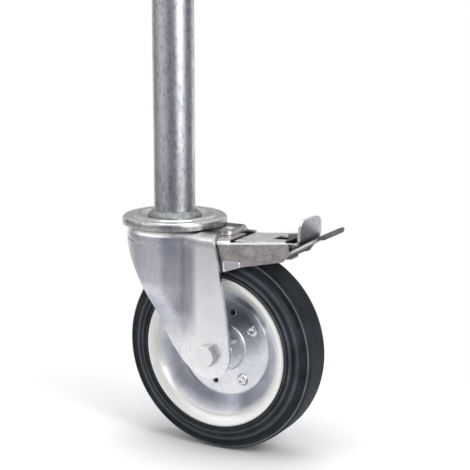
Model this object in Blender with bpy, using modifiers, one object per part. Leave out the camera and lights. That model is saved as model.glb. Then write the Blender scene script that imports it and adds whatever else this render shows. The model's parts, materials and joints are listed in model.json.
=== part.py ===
"""Scaffold castor: a tube stem on a ball-bearing swivel head, a pressed fork with a
brake housing, a foot pedal with a release tab, and a solid rubber wheel on a pressed rim.

Metres, +Z up. The origin is on the swivel axis, on top of the head plate's outer roll.
The axle lies along Y, and the fork trails towards +X.
"""

import math

import bmesh
import bpy
from mathutils import Matrix, Vector

# Clearances
GAP = 0.0003              # between pieces that touch
SLIDE = 0.0005            # between pieces that move past each other
WHEEL_ROOM = 0.0270       # from the origin's height down to the top of the tread
HUB_ROOM = 0.0030         # between the hub's end and the fork's leg
HOUSING_ROOM = 0.0020     # between the brake housing and the fork's leg
PEDAL_ROOM = 0.0015       # between the pedal's cheeks and the housing
SHOE_CLEAR = 0.0010       # left between the shoe and the tyre when it is locked

# Wheel and axle
WHEEL_R = 0.100
TRAIL = 0.057
AXLE_DROP = WHEEL_R + WHEEL_ROOM
AXLE_R = 0.0060
AXLE_HEAD_AF = 0.019
AXLE_HEAD_H = 0.0075
AXLE_NUT_H = 0.0100
AXLE_TAIL = 0.0030
AXLE_WASHER_R = 0.0120
AXLE_WASHER_T = 0.0020
SLEEVE_R = 0.0100
HUB_BORE_R = 0.0170
HUB_R = 0.0225
HUB_HALF = 0.0290
SEAL_T = 0.0020
ROLLER_COUNT = 8
RUBBER_H = 0.0250         # tread above the rim's edge
FLANGE_H = 0.0070         # rim's edge above the seat
WEB_SHARE = 0.5048        # how far the flat web reaches from the hub towards the rim's edge
RIM_T = 0.0028
RIM_R = WHEEL_R - RUBBER_H
RIM_SEAT_R = RIM_R - FLANGE_H       # radius of the tyre's bore between the discs
WEB_R = HUB_R + WEB_SHARE * (RIM_R - HUB_R)
RIM_HALF = 0.0252
RIVET_CIRCLE_R = (HUB_R + WEB_R) / 2 + 0.00125
RIVET_R = 0.0040
RIVET_HEAD_R = 0.0062
RIVET_HEAD_H = 0.0030
RIVET_ANGLES = (33, 123, 213, 303)
VENT_R = 0.0027
VENT_ANGLES = (75, 255)
TREAD_HALF = 0.0152
TREAD_BEVEL = 0.0020

# Fork
FORK_T = 0.0040
LEG_IN = HUB_HALF + HUB_ROOM
LEG_OUT = LEG_IN + FORK_T
HOOD_PROUD = 0.0110       # hood's radius over the legs' half width
HOOD_R = LEG_OUT + HOOD_PROUD
HOOD_LOW = -0.0210        # lower edge of the hood at its very front
CROWN_TOP = -0.0090
SHOULDER_R = 0.0060       # bend between the crown and the hood
SHOULDER_REAR = 0.0120    # the same bend where the legs end
SHOULDER_START = 0.0260   # between these two places along X the bend widens
SHOULDER_END = 0.0500
VALLEY_SOFT = 0.0030      # how softly the hood runs into the flat leg
BULGE_START = CROWN_TOP - 0.0510
BULGE_END = -AXLE_DROP + 0.0150
LEG_END_R = 0.0235
LEG_TOP_X = 0.0620        # rear edge of the leg at the crown
TONGUE_END = TRAIL + 0.0130
TONGUE_HALF = 0.0150
TONGUE_CORNER = 0.0090
# Shares of the way from the hood's front edge to the leg's round end, and from there to the crown
FORK_FRONT = ((0, 0), (0.0713, 0.0279), (0.1436, 0.0764), (0.2818, 0.2156), (0.4167, 0.3604),
              (0.5373, 0.5290), (0.6250, 0.7001), (0.7467, 0.8322), (0.8717, 0.9388))
FORK_REAR = ((0.166, 0.261), (0.518, 0.611), (0.713, 0.791), (0.919, 0.932), (1, 1))

# Stem and head plate
STEM_R = 0.02025
STEM_WALL = 0.00325
STEM_TOP = 0.260
WELD_LEG = 0.00625
WELD_RISE = 0.0065
WELD_R = STEM_R + WELD_LEG
PLATE_T = 0.0035
PLATE_FLOOR = -0.0015     # top of the plate's flat middle
PLATE_OVERHANG = 0.0047
PLATE_R = HOOD_R + PLATE_OVERHANG
ROLL_R = 0.0040           # outer bend of the rolled rim

# Upper ball race
RACE_INSET = 0.0095       # race inside the hood's outer radius
RACE_R = HOOD_R - RACE_INSET
RACE_TOP = 0.0012         # top of the raised ring that backs the race
RACE_HALF = 0.0030
BALL_R = 0.0035
BALL_COUNT = 16
CAGE_HALF_WIDTH = 0.0016
CAGE_HALF_HEIGHT = 0.0006

# Lower ball race, lock ring and king bolt
LOW_RACE_R = 0.0200
LOW_BALL_R = 0.0030
LOW_BALL_COUNT = 10
LOW_RING_R = 0.0262
LOW_RING_T = 0.0060
LOW_GROOVE = 0.0026       # how deep the lower balls sit in their ring
TOOTH_H = 0.0038
LOCK_ROOT_R = 0.0272
LOCK_R = LOCK_ROOT_R + TOOTH_H
LOCK_T = 0.0030
LOCK_TEETH = 20
KING_R = 0.0080
KING_HEAD_AF = 0.024
KING_HEAD_H = 0.010
KING_NUT_H = 0.008
KING_TAIL = 0.0022
WASHER_T = 0.003
WASHER_R = 0.015

# Swivel head, from the crown up and down
CROWN_UNDER = CROWN_TOP - FORK_T
BALL_Z = RACE_TOP - PLATE_T - GAP - BALL_R
SKIRT_END = CROWN_TOP + SLIDE
LOW_BALL_Z = CROWN_UNDER - GAP - LOW_BALL_R
LOW_RING_BOTTOM = LOW_BALL_Z - LOW_BALL_R - GAP - LOW_RING_T + LOW_GROOVE
LOW_RING_TOP = LOW_RING_BOTTOM + LOW_RING_T
KING_NUT_TOP = LOW_RING_BOTTOM - GAP
KING_END = KING_NUT_TOP - KING_NUT_H - KING_TAIL
KING_WASHER_BOTTOM = PLATE_FLOOR + GAP
KING_HEAD_BOTTOM = KING_WASHER_BOTTOM + WASHER_T + GAP
WHEEL_CENTRE = Vector((TRAIL, 0.0, -AXLE_DROP))

# Brake housing
HOUSING_T = 0.0025
HOUSING_HALF = LEG_IN - HOUSING_ROOM
HOUSING_IN = HOUSING_HALF - HOUSING_T
HOUSING_FRONT = LOCK_R + 0.0090
HOUSING_REAR = TRAIL + 0.0815
HOUSING_BEND = 0.0060
STEP_PROUD = 0.0002       # how far the pressed step stands out of the housing's side
WEB_END = TONGUE_END + 0.0065
NOTCH_FRONT = WEB_END - 0.0095     # notch in the far half of the web
NOTCH_INSIDE = 0.0040
WEB_TOP = CROWN_UNDER - GAP
WEB_UNDER = WEB_TOP - HOUSING_T
HOUSING_RIVET_X = TONGUE_END - 0.0085
HOUSING_RIVET_R = 0.0030
HOUSING_RIVET_HEAD_R = 0.0046
HOUSING_RIVET_HEAD_H = 0.0028

# Pedal and release lever
PEDAL_PIN = (HOUSING_REAR - 0.0185, WEB_TOP - 0.0095)
PEDAL_PIN_R = 0.0030
PEDAL_T = 0.0030
PEDAL_HALF = HOUSING_IN - PEDAL_ROOM
EYE_R = 0.0058
LIP_X = PEDAL_PIN[0] + 0.0095
LIP_BOTTOM = PEDAL_PIN[1] - 0.0064      # lower edge of the lip, which bears on the shoe's tail
# Top line of the foot plate, from the lip's lower edge
PEDAL_LINE = ((0, 0), (0, 0.0037), (0.0015, 0.0060), (0.0050, 0.0086), (0.0365, 0.0262),
              (0.0395, 0.0271), (0.0427, 0.0258))
LEVER_HALF = PEDAL_HALF - PEDAL_T - SLIDE
LEVER_FRONT = WEB_END + 0.0025
LEVER_BEND = 0.0055
TAB_X = HOUSING_REAR + 0.0070
TAB_TOP = 0.0100
WINDOW_HALF = 0.0150
SLOT_HALF = 0.0040
SPRING_HALF = LEVER_HALF - PEDAL_T - 0.0100

# Brake shoe
SHOE_PIN = (TRAIL + 0.0030, WEB_TOP - 0.0072)
SHOE_PIN_R = 0.0025
SHOE_SWING = 2.6
SHOE_HALF = 0.0150
SHOE_T = 0.0028
SHOE_EYE_R = 0.0042
SHOE_ARM_T = 0.0025
TAIL_START = PEDAL_PIN[0] - 0.0120
TAIL_END = PEDAL_PIN[0] + 0.0130
PIN_PROUD = 0.0006        # pin ends outside the housing

parts = bpy.data.collections.new("scaffold_castor")
helpers = bpy.data.collections.new("cutters")


# Scene and materials

def clear_scene():
    for obj in list(bpy.data.objects):
        bpy.data.objects.remove(obj)
    bpy.context.scene.collection.children.link(parts)
    bpy.context.scene.collection.children.link(helpers)


def material(name, colour, roughness, metallic):
    mat = bpy.data.materials.new(name)
    mat.use_nodes = True
    shader = mat.node_tree.nodes["Principled BSDF"]
    shader.inputs["Base Color"].default_value = (*colour, 1.0)
    shader.inputs["Roughness"].default_value = roughness
    shader.inputs["Metallic"].default_value = metallic
    mat.diffuse_color = (*colour, 1.0)
    return mat


# Shapes

def add(name, mesh, mat=None, cutter=False):
    obj = bpy.data.objects.new(name, mesh)
    (helpers if cutter else parts).objects.link(obj)
    if cutter:
        obj.hide_render = True
        obj.display_type = "WIRE"
    elif mat:
        obj.data.materials.append(mat)
    return obj


def from_bmesh(name, bm, mat=None, cutter=False):
    bmesh.ops.recalc_face_normals(bm, faces=bm.faces)
    mesh = bpy.data.meshes.new(name)
    bm.to_mesh(mesh)
    bm.free()
    return add(name, mesh, mat, cutter)


def soften(obj, angle=35):
    obj.data.shade_smooth()
    obj.data.set_sharp_from_angle(angle=math.radians(angle))


def along(direction):
    """The rotation that turns local Z to this direction."""
    return Vector((0, 0, 1)).rotation_difference(Vector(direction)).to_matrix().to_4x4()


def block_cutter(name, low, high):
    low, high = Vector(low), Vector(high)
    bm = bmesh.new()
    bmesh.ops.create_cube(bm, size=1.0, matrix=Matrix.Translation((low + high) / 2)
                          @ Matrix.Diagonal((*(high - low), 1)))
    return from_bmesh(name, bm, cutter=True)


def rod(name, start, end, radius, mat=None, sides=24, cutter=False, turn=0.0):
    """A cylinder, or a prism of few sides, from start to end."""
    start, end = Vector(start), Vector(end)
    bm = bmesh.new()
    bmesh.ops.create_cone(bm, cap_ends=True, segments=sides, radius1=radius, radius2=radius,
                          depth=(end - start).length)
    place = Matrix.Translation((start + end) / 2) @ along(end - start) @ Matrix.Rotation(turn, 4, "Z")
    bmesh.ops.transform(bm, matrix=place, verts=bm.verts)
    return from_bmesh(name, bm, mat, cutter)


def turned(name, profile, mat=None, centre=(0, 0, 0), axis="Z", steps=64, cutter=False):
    """A Screw of (radius, height) points; the loop is closed and runs down its outer side."""
    area = sum(a[0] * b[1] - b[0] * a[1] for a, b in zip(profile, profile[1:] + profile[:1]))
    points = profile if area < 0 else profile[::-1]
    mesh = bpy.data.meshes.new(name)
    edges = [(i, (i + 1) % len(points)) for i in range(len(points))]
    mesh.from_pydata([(r, 0, h) for r, h in points], edges, [])
    obj = add(name, mesh, mat, cutter)
    obj.location = centre
    if axis == "Y":
        obj.rotation_euler = (-math.pi / 2, 0, 0)
    screw = obj.modifiers.new("turn", "SCREW")
    screw.steps = screw.render_steps = steps
    screw.use_merge_vertices = True
    screw.merge_threshold = 0.00001
    screw.use_smooth_shade = False
    return obj


def bead(name, ring_r, height, minor_r, cutter=True, steps=40, sides=8):
    """A torus about Z, for a ball groove."""
    ring = [(ring_r + minor_r * math.cos(2 * math.pi * i / sides),
             height + minor_r * math.sin(2 * math.pi * i / sides)) for i in range(sides)]
    return turned(name, ring, steps=steps, cutter=cutter)


def sheet(name, outlines, thickness, plane, middle=0.0, mat=None, cutter=False):
    """Flat closed outlines as a plate: (x, z) points for plane XZ, (y, z) for YZ, (x, y) for XY."""
    curve = bpy.data.curves.new(name, "CURVE")
    curve.dimensions = "2D"
    curve.fill_mode = "BOTH"
    curve.extrude = thickness / 2
    for outline in outlines:
        spline = curve.splines.new("POLY")
        spline.points.add(len(outline) - 1)
        for point, (u, v) in zip(spline.points, outline):
            point.co = (u, v, 0, 1)
        spline.use_cyclic_u = True
    flat = bpy.data.objects.new(name + "_outline", curve)
    helpers.objects.link(flat)
    bpy.context.view_layer.update()
    mesh = bpy.data.meshes.new_from_object(flat.evaluated_get(bpy.context.evaluated_depsgraph_get()))
    bpy.data.objects.remove(flat)
    turns = {
        "XZ": Matrix.Translation((0, middle, 0)) @ Matrix.Rotation(math.pi / 2, 4, "X"),
        "YZ": Matrix.Translation((middle, 0, 0)) @ Matrix(((0, 0, 1, 0), (1, 0, 0, 0), (0, 1, 0, 0), (0, 0, 0, 1))),
        "XY": Matrix.Translation((0, 0, middle)),
    }
    bm = bmesh.new()
    bm.from_mesh(mesh)
    bpy.data.meshes.remove(mesh)
    bmesh.ops.remove_doubles(bm, verts=bm.verts, dist=0.000001)
    bmesh.ops.transform(bm, matrix=turns[plane], verts=bm.verts)
    return from_bmesh(name, bm, mat, cutter)


def combine(obj, other, operation):
    step = obj.modifiers.new(operation.lower(), "BOOLEAN")
    step.operation = operation
    step.object = other


def cut(obj, *others):
    for other in others:
        combine(obj, other, "DIFFERENCE")


def join(obj, *others):
    for other in others:
        combine(obj, other, "UNION")


def arc(centre, radius, start, end, steps):
    """Points along an arc, in degrees."""
    return [(centre[0] + radius * math.cos(math.radians(start + (end - start) * i / steps)),
             centre[1] + radius * math.sin(math.radians(start + (end - start) * i / steps)))
            for i in range(steps + 1)]


def through(points, steps):
    """A smooth open line through the points (Catmull-Rom)."""
    ends = [points[0]] + list(points) + [points[-1]]
    line = []
    for a, b, c, d in zip(ends, ends[1:], ends[2:], ends[3:]):
        for i in range(steps):
            t = i / steps
            line.append(tuple(
                0.5 * (2 * q + (r - p) * t + (2 * p - 5 * q + 4 * r - s) * t * t
                       + (3 * q - p - 3 * r + s) * t ** 3)
                for p, q, r, s in zip(a, b, c, d)))
    return line + [points[-1]]


def thick_line(points, thickness):
    """A closed outline: this line, and the same line moved thickness to its left."""
    moved = []
    for i, here in enumerate(points):
        before = points[max(i - 1, 0)]
        after = points[min(i + 1, len(points) - 1)]
        sides = []
        for a, b in ((before, here), (here, after)):
            length = math.dist(a, b)
            if length:
                sides.append(Vector((-(b[1] - a[1]) / length, (b[0] - a[0]) / length)))
        normal = sum(sides, Vector((0, 0))).normalized()
        reach = thickness / max(normal.dot(sides[0]), 0.5)
        moved.append((here[0] + normal.x * reach, here[1] + normal.y * reach))
    return list(points) + moved[::-1]


def swung(point, pivot, degrees):
    """An (x, z) point turned about a pivot, positive as a hinge along +Y turns."""
    angle = math.radians(degrees)
    x, z = point[0] - pivot[0], point[1] - pivot[1]
    return (pivot[0] + x * math.cos(angle) + z * math.sin(angle),
            pivot[1] - x * math.sin(angle) + z * math.cos(angle))


def hexagon(name, start, end, across, mat):
    return rod(name, start, end, across / math.sqrt(3), mat, sides=6)


# Stem and swivel head

def make_stem(zinc, weld):
    foot = PLATE_FLOOR + GAP
    inner = STEM_R - STEM_WALL
    tube = [(inner, foot), (WELD_R, foot), (WELD_R - 0.0012, foot + 0.0022),
            (STEM_R + 0.0022, foot + 0.0042), (STEM_R, foot + WELD_RISE),
            (STEM_R, STEM_TOP - 0.0005), (STEM_R - 0.0005, STEM_TOP), (inner, STEM_TOP)]
    soften(turned("stem_tube", tube, zinc, steps=40))

    ring_in, ring_out = RACE_R - RACE_HALF, RACE_R + RACE_HALF
    top = [(KING_R + GAP, PLATE_FLOOR), (ring_in - 0.0022, PLATE_FLOOR), (ring_in + 0.0004, RACE_TOP),
           (ring_out - 0.0004, RACE_TOP), (ring_out + 0.0018, -0.0009), (ring_out + 0.0046, 0.0)]
    roll = arc((PLATE_R - ROLL_R, -ROLL_R), ROLL_R, 90, 0, 4)
    line = top + roll + [(PLATE_R, SKIRT_END)]
    plate = turned("head_plate", thick_line(line[::-1], PLATE_T), zinc, steps=36)
    soften(plate)
    return plate


def make_king_bolt(steel):
    head_top = KING_HEAD_BOTTOM + KING_HEAD_H
    bolt = hexagon("king_bolt", (0, 0, KING_HEAD_BOTTOM), (0, 0, head_top), KING_HEAD_AF, steel)
    shank = rod("king_shank", (0, 0, KING_END), (0, 0, KING_HEAD_BOTTOM + GAP), KING_R, cutter=True)
    join(bolt, shank)
    washer = [(KING_R + GAP, KING_WASHER_BOTTOM), (WASHER_R, KING_WASHER_BOTTOM),
              (WASHER_R, KING_WASHER_BOTTOM + WASHER_T), (KING_R + GAP, KING_WASHER_BOTTOM + WASHER_T)]
    turned("king_washer", washer, steel, steps=24)
    nut = hexagon("king_nut", (0, 0, KING_NUT_TOP - KING_NUT_H), (0, 0, KING_NUT_TOP), KING_HEAD_AF, steel)
    cut(nut, rod("king_nut_bore", (0, 0, KING_NUT_TOP - 2 * KING_NUT_H), (0, 0, KING_NUT_TOP + KING_NUT_H),
                 KING_R + GAP, cutter=True))


def ball_ring(name, ring_r, height, ball_r, count, mat):
    """Balls held in a flat cage, one solid."""
    cage = [(ring_r - CAGE_HALF_WIDTH, height - CAGE_HALF_HEIGHT), (ring_r + CAGE_HALF_WIDTH, height - CAGE_HALF_HEIGHT),
            (ring_r + CAGE_HALF_WIDTH, height + CAGE_HALF_HEIGHT), (ring_r - CAGE_HALF_WIDTH, height + CAGE_HALF_HEIGHT)]
    ring = turned(name, cage, mat, steps=count)
    bm = bmesh.new()
    for i in range(count):
        angle = 2 * math.pi * i / count
        place = Matrix.Translation((ring_r * math.cos(angle), ring_r * math.sin(angle), height))
        bmesh.ops.create_uvsphere(bm, u_segments=6, v_segments=4, radius=ball_r, matrix=place)
    join(ring, from_bmesh(name + "_balls", bm, cutter=True))


def make_lock_ring(steel):
    """Lower race and toothed lock ring, one turned and milled piece."""
    flange_top = LOW_RING_BOTTOM + LOCK_T
    ring = [(KING_R + GAP, LOW_RING_TOP), (LOW_RING_R, LOW_RING_TOP), (LOW_RING_R, flange_top),
            (LOCK_R, flange_top), (LOCK_R, LOW_RING_BOTTOM), (KING_R + GAP, LOW_RING_BOTTOM)]
    race = turned("lock_ring", ring, steel, steps=2 * LOCK_TEETH)
    cut(race, bead("lower_groove", LOW_RACE_R, LOW_BALL_Z, LOW_BALL_R + 2 * GAP))
    bm = bmesh.new()
    pitch = 2 * math.pi / LOCK_TEETH
    for i in range(LOCK_TEETH):
        bmesh.ops.create_cube(bm, size=1.0, matrix=Matrix.Rotation(i * pitch, 4, "Z")
                              @ Matrix.Translation((LOCK_ROOT_R + 0.005, 0, LOW_RING_BOTTOM))
                              @ Matrix.Diagonal((0.010, LOCK_ROOT_R * pitch * 0.58, 2.5 * LOCK_T, 1)))
    cut(race, from_bmesh("lock_gaps", bm, cutter=True))


# Fork

def shoulder_at(x):
    t = min(max((x - SHOULDER_START) / (SHOULDER_END - SHOULDER_START), 0.0), 1.0)
    return SHOULDER_R + (SHOULDER_REAR - SHOULDER_R) * t * t * (3 - 2 * t)


def fork_section(height, depth, drop, bulge, rear):
    """Half of the fork's plan drop below its top, from the rear of the leg to the front of the hood."""
    def inset_at(x):
        bend = shoulder_at(x) - depth
        return depth + bend - math.sqrt(bend ** 2 - max(bend - drop, 0.0) ** 2)

    radius = HOOD_R - inset_at(0.0)
    valley = math.sqrt(radius ** 2 - (LEG_OUT - inset_at(0.0)) ** 2)

    def side(x):
        flat = LEG_OUT - inset_at(x)
        proud = math.sqrt(max((HOOD_R - inset_at(x)) ** 2 - x ** 2, 0.0)) - flat
        soft = VALLEY_SOFT if x > 0 else 0.0
        return flat + bulge * 0.5 * (proud + math.hypot(proud, soft))

    shares = (1.59, 1.20, 1.10, 1.03, 0.97, 0.87, 0.70, 0.43, 0.13, -0.20, -0.53, -0.80)
    line = [(x, -side(x)) for x in (rear, *(valley * share for share in shares))]
    line += [(-p[0], -p[1]) for p in arc((0, 0), radius, math.degrees(math.acos(valley / radius)), 0, 5)]
    return [Vector((x, y, height)) for x, y in line]


def bulge_at(height):
    t = min(max((BULGE_START - height) / (BULGE_START - BULGE_END), 0.0), 1.0)
    return 1 - t * t * (3 - 2 * t)


def loft(name, sections, mat=None, cutter=False):
    bm = bmesh.new()
    rings = [[bm.verts.new(point) for point in section] for section in sections]
    for low, high in zip(rings, rings[1:]):
        for i in range(len(low)):
            j = (i + 1) % len(low)
            bm.faces.new((low[i], low[j], high[j], high[i]))
    bm.faces.new(rings[0])
    bm.faces.new(rings[-1][::-1])
    return from_bmesh(name, bm, mat, cutter)


def fork_body(name, depth, rear, mat=None, cutter=False):
    """The hood and legs as one closed body, set in from the outside by depth."""
    top = CROWN_TOP - depth
    levels = [top - (SHOULDER_REAR - depth) * (1 - math.sin(math.radians(a))) for a in (90, 72, 54, 36, 18, 0)]
    levels += [BULGE_START + (BULGE_END - BULGE_START) * i / 5 for i in range(6)]
    sections = []
    for height in levels + [-AXLE_DROP - 1.6 * LEG_END_R]:
        half = fork_section(height, depth, top - height, bulge_at(height), rear)
        sections.append(half + [Vector((p.x, -p.y, p.z)) for p in half[-2::-1]])
    return loft(name, sections, mat, cutter)


def fork_outline():
    """The fork from the side, as (x, z): front edge, round end about the axle, rear edge, top."""
    def between(start, end, shares):
        return [(start[0] + (end[0] - start[0]) * u, start[1] + (end[1] - start[1]) * v) for u, v in shares]

    end = arc((TRAIL, -AXLE_DROP), LEG_END_R, -123, -3, 10)
    front = through(between((-HOOD_R, HOOD_LOW), end[0], FORK_FRONT) + end[:1], 3)
    rear = between(end[-1], (LEG_TOP_X, CROWN_TOP - 0.0010), FORK_REAR)
    ahead, above = -HOOD_R - 0.0130, 0.0100
    return [(ahead, HOOD_LOW + 0.0020)] + front[:-1] + end + rear + [(LEG_TOP_X, above), (ahead, above)]


def make_fork(zinc):
    behind = TRAIL + 2 * LEG_END_R
    fork = fork_body("fork", 0.0, behind, zinc)
    cut(fork, fork_body("fork_inside", FORK_T, behind + 0.0200, cutter=True))
    combine(fork, sheet("fork_side", [fork_outline()], 2 * HOOD_R + 0.0200, "XZ", cutter=True), "INTERSECT")
    tongue = arc((TONGUE_END - TONGUE_CORNER, TONGUE_HALF - TONGUE_CORNER), TONGUE_CORNER, 0, 90, 4)
    root = LEG_TOP_X - 0.0120
    tongue = tongue + [(root, TONGUE_HALF), (root, -TONGUE_HALF)] + [(x, -y) for x, y in tongue[::-1]]
    join(fork, sheet("fork_tongue", [tongue], FORK_T, "XY", CROWN_TOP - FORK_T / 2, cutter=True))
    cut(fork,
        rod("king_hole", (0, 0, 2 * CROWN_UNDER), (0, 0, 0), KING_R + SLIDE, cutter=True),
        bead("upper_groove", RACE_R, BALL_Z, BALL_R + 2 * GAP),
        rod("housing_rivet_hole", (HOUSING_RIVET_X, 0, 2 * CROWN_UNDER), (HOUSING_RIVET_X, 0, 0),
            HOUSING_RIVET_R + GAP, cutter=True),
        rod("axle_hole", (TRAIL, -2 * LEG_OUT, -AXLE_DROP), (TRAIL, 2 * LEG_OUT, -AXLE_DROP), AXLE_R + GAP,
            cutter=True))
    soften(fork, 30)


# Wheel

def rim_profile():
    """The disc's outer face from hub to flange, as (radius, height above the middle plane)."""
    face = GAP / 2 + RIM_T
    return [(HUB_R + GAP, face), (WEB_R, face), (RIM_SEAT_R - 0.0040, RIM_HALF - 0.0072),
            (RIM_SEAT_R - 0.0018, RIM_HALF - 0.0044), (RIM_SEAT_R + 0.0010, RIM_HALF - 0.0020),
            (RIM_R - 0.0018, RIM_HALF - 0.0004), (RIM_R, RIM_HALF - 0.0008)]


def make_rim(steel):
    outline = thick_line(rim_profile(), -RIM_T)
    rivets = [math.radians(a) for a in RIVET_ANGLES]
    vents = [math.radians(a) for a in VENT_ANGLES]
    for name, side in (("rim_near", -1), ("rim_far", 1)):
        disc = turned(name, [(r, side * h) for r, h in outline], steel, WHEEL_CENTRE, "Y", steps=36)
        for kind, angles, radius in (("rivet", rivets, RIVET_R + GAP), ("vent", vents, VENT_R)):
            for i, angle in enumerate(angles):
                spot = WHEEL_CENTRE + RIVET_CIRCLE_R * Vector((math.cos(angle), 0, math.sin(angle)))
                cut(disc, rod(f"{name}_{kind}_hole_{i}", spot - Vector((0, RIM_HALF, 0)), spot + Vector((0, RIM_HALF, 0)),
                              radius, sides=12, cutter=True))
        soften(disc)
    face = GAP / 2 + RIM_T + GAP
    dome = arc((0, 0), 1.0, 0, 90, 2)
    half = [(RIVET_HEAD_R * x, face + RIVET_HEAD_H * z) for x, z in dome]
    shape = [(0.0, -half[-1][1])] + [(r, -h) for r, h in half[-2::-1]] + [(RIVET_R, -face), (RIVET_R, face)] + half
    for i, angle in enumerate(rivets):
        spot = WHEEL_CENTRE + RIVET_CIRCLE_R * Vector((math.cos(angle), 0, math.sin(angle)))
        soften(turned(f"rim_rivet_{i + 1}", shape, steel, spot, "Y", steps=12))


def make_tyre(rubber):
    bead_r = RIM_R + 0.0004
    behind = RIM_HALF - RIM_T - 0.0008
    half = [(RIM_SEAT_R, 0.0), (RIM_SEAT_R, behind - 0.0052), (bead_r, behind), (bead_r, RIM_HALF + 0.0002),
            (bead_r + 0.0018, RIM_HALF - 0.0014), (bead_r + 0.0034, RIM_HALF - 0.0014),
            (bead_r + 0.0046, RIM_HALF - 0.0006), (WHEEL_R - 0.0075, TREAD_HALF + 0.0032),
            (WHEEL_R - 0.0030, TREAD_HALF + 0.0020), (WHEEL_R - 0.0008, TREAD_HALF),
            (WHEEL_R, TREAD_HALF - TREAD_BEVEL), (WHEEL_R, 0.0)]
    profile = half + [(r, -h) for r, h in half[-2:0:-1]]
    soften(turned("tyre", profile, rubber, WHEEL_CENTRE, "Y", steps=44))


def make_hub(steel, dark, seal):
    near, far = Vector((0, -1, 0)), Vector((0, 1, 0))
    tube = [(HUB_BORE_R, -HUB_HALF), (HUB_R - 0.0006, -HUB_HALF), (HUB_R, -HUB_HALF + 0.0006),
            (HUB_R, HUB_HALF - 0.0006), (HUB_R - 0.0006, HUB_HALF), (HUB_BORE_R, HUB_HALF)]
    soften(turned("hub_tube", tube, steel, WHEEL_CENTRE, "Y", steps=32))
    half = LEG_IN - GAP
    sleeve = [(AXLE_R + GAP, -half), (SLEEVE_R, -half), (SLEEVE_R, half), (AXLE_R + GAP, half)]
    soften(turned("axle_sleeve", sleeve, steel, WHEEL_CENTRE, "Y", steps=24))
    inside = HUB_HALF - SEAL_T - GAP
    pitch_r = (SLEEVE_R + HUB_BORE_R) / 2
    roller_r = (HUB_BORE_R - SLEEVE_R) / 2 - GAP
    flange = 0.0016
    cage_r = roller_r - 0.0008
    bm = bmesh.new()
    for i in range(ROLLER_COUNT):
        angle = 2 * math.pi * i / ROLLER_COUNT
        spot = Vector((pitch_r * math.cos(angle), 0, pitch_r * math.sin(angle)))
        bmesh.ops.create_cone(bm, cap_ends=True, segments=8, radius1=roller_r, radius2=roller_r,
                              depth=2 * (inside - flange / 2),
                              matrix=Matrix.Translation(WHEEL_CENTRE + spot) @ along(far))
    rollers = from_bmesh("roller_set", bm, cutter=True)
    ring = [(pitch_r - cage_r, inside - flange), (pitch_r + cage_r, inside - flange),
            (pitch_r + cage_r, inside), (pitch_r - cage_r, inside)]
    cage = turned("roller_cage", ring, dark, WHEEL_CENTRE, "Y", steps=16)
    other = turned("roller_cage_ring", [(r, -h) for r, h in ring], None, WHEEL_CENTRE, "Y", steps=16, cutter=True)
    join(cage, rollers, other)
    for name, side in (("hub_seal_near", near), ("hub_seal_far", far)):
        low, high = HUB_HALF - SEAL_T, HUB_HALF + 0.0012
        lip = [(SLEEVE_R + GAP, low), (HUB_BORE_R - GAP, low), (HUB_BORE_R - GAP, HUB_HALF + GAP),
               (HUB_R - 0.0015, HUB_HALF + GAP), (HUB_R - 0.0015, high), (SLEEVE_R + GAP, high)]
        turned(name, [(r, side.y * h) for r, h in lip], seal, WHEEL_CENTRE, "Y", steps=24)


def make_axle(steel):
    head_in = LEG_OUT + GAP
    head_out = head_in + AXLE_HEAD_H
    nut_in = head_in + AXLE_WASHER_T + GAP
    nut_out = nut_in + AXLE_NUT_H
    bolt = hexagon("axle_bolt", WHEEL_CENTRE + Vector((0, -head_out, 0)), WHEEL_CENTRE + Vector((0, -head_in, 0)),
                   AXLE_HEAD_AF, steel)
    join(bolt, rod("axle_shank", WHEEL_CENTRE + Vector((0, -head_in - GAP, 0)),
                   WHEEL_CENTRE + Vector((0, nut_out + AXLE_TAIL, 0)), AXLE_R, cutter=True))
    washer = [(AXLE_R + GAP, head_in), (AXLE_WASHER_R, head_in), (AXLE_WASHER_R, head_in + AXLE_WASHER_T),
              (AXLE_R + GAP, head_in + AXLE_WASHER_T)]
    turned("axle_washer", washer, steel, WHEEL_CENTRE, "Y", steps=24)
    nut = hexagon("axle_nut", WHEEL_CENTRE + Vector((0, nut_in, 0)), WHEEL_CENTRE + Vector((0, nut_out, 0)),
                  AXLE_HEAD_AF, steel)
    cut(nut, rod("axle_nut_bore", WHEEL_CENTRE + Vector((0, nut_in - AXLE_NUT_H, 0)),
                 WHEEL_CENTRE + Vector((0, nut_out + AXLE_NUT_H, 0)), AXLE_R + GAP, cutter=True))


# Brake

def across(name, pin, radius):
    """A cutter along Y through the whole brake, about a pin's (x, z)."""
    x, z = pin
    return rod(name, (x, -2 * LEG_OUT, z), (x, 2 * LEG_OUT, z), radius, cutter=True)


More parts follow.
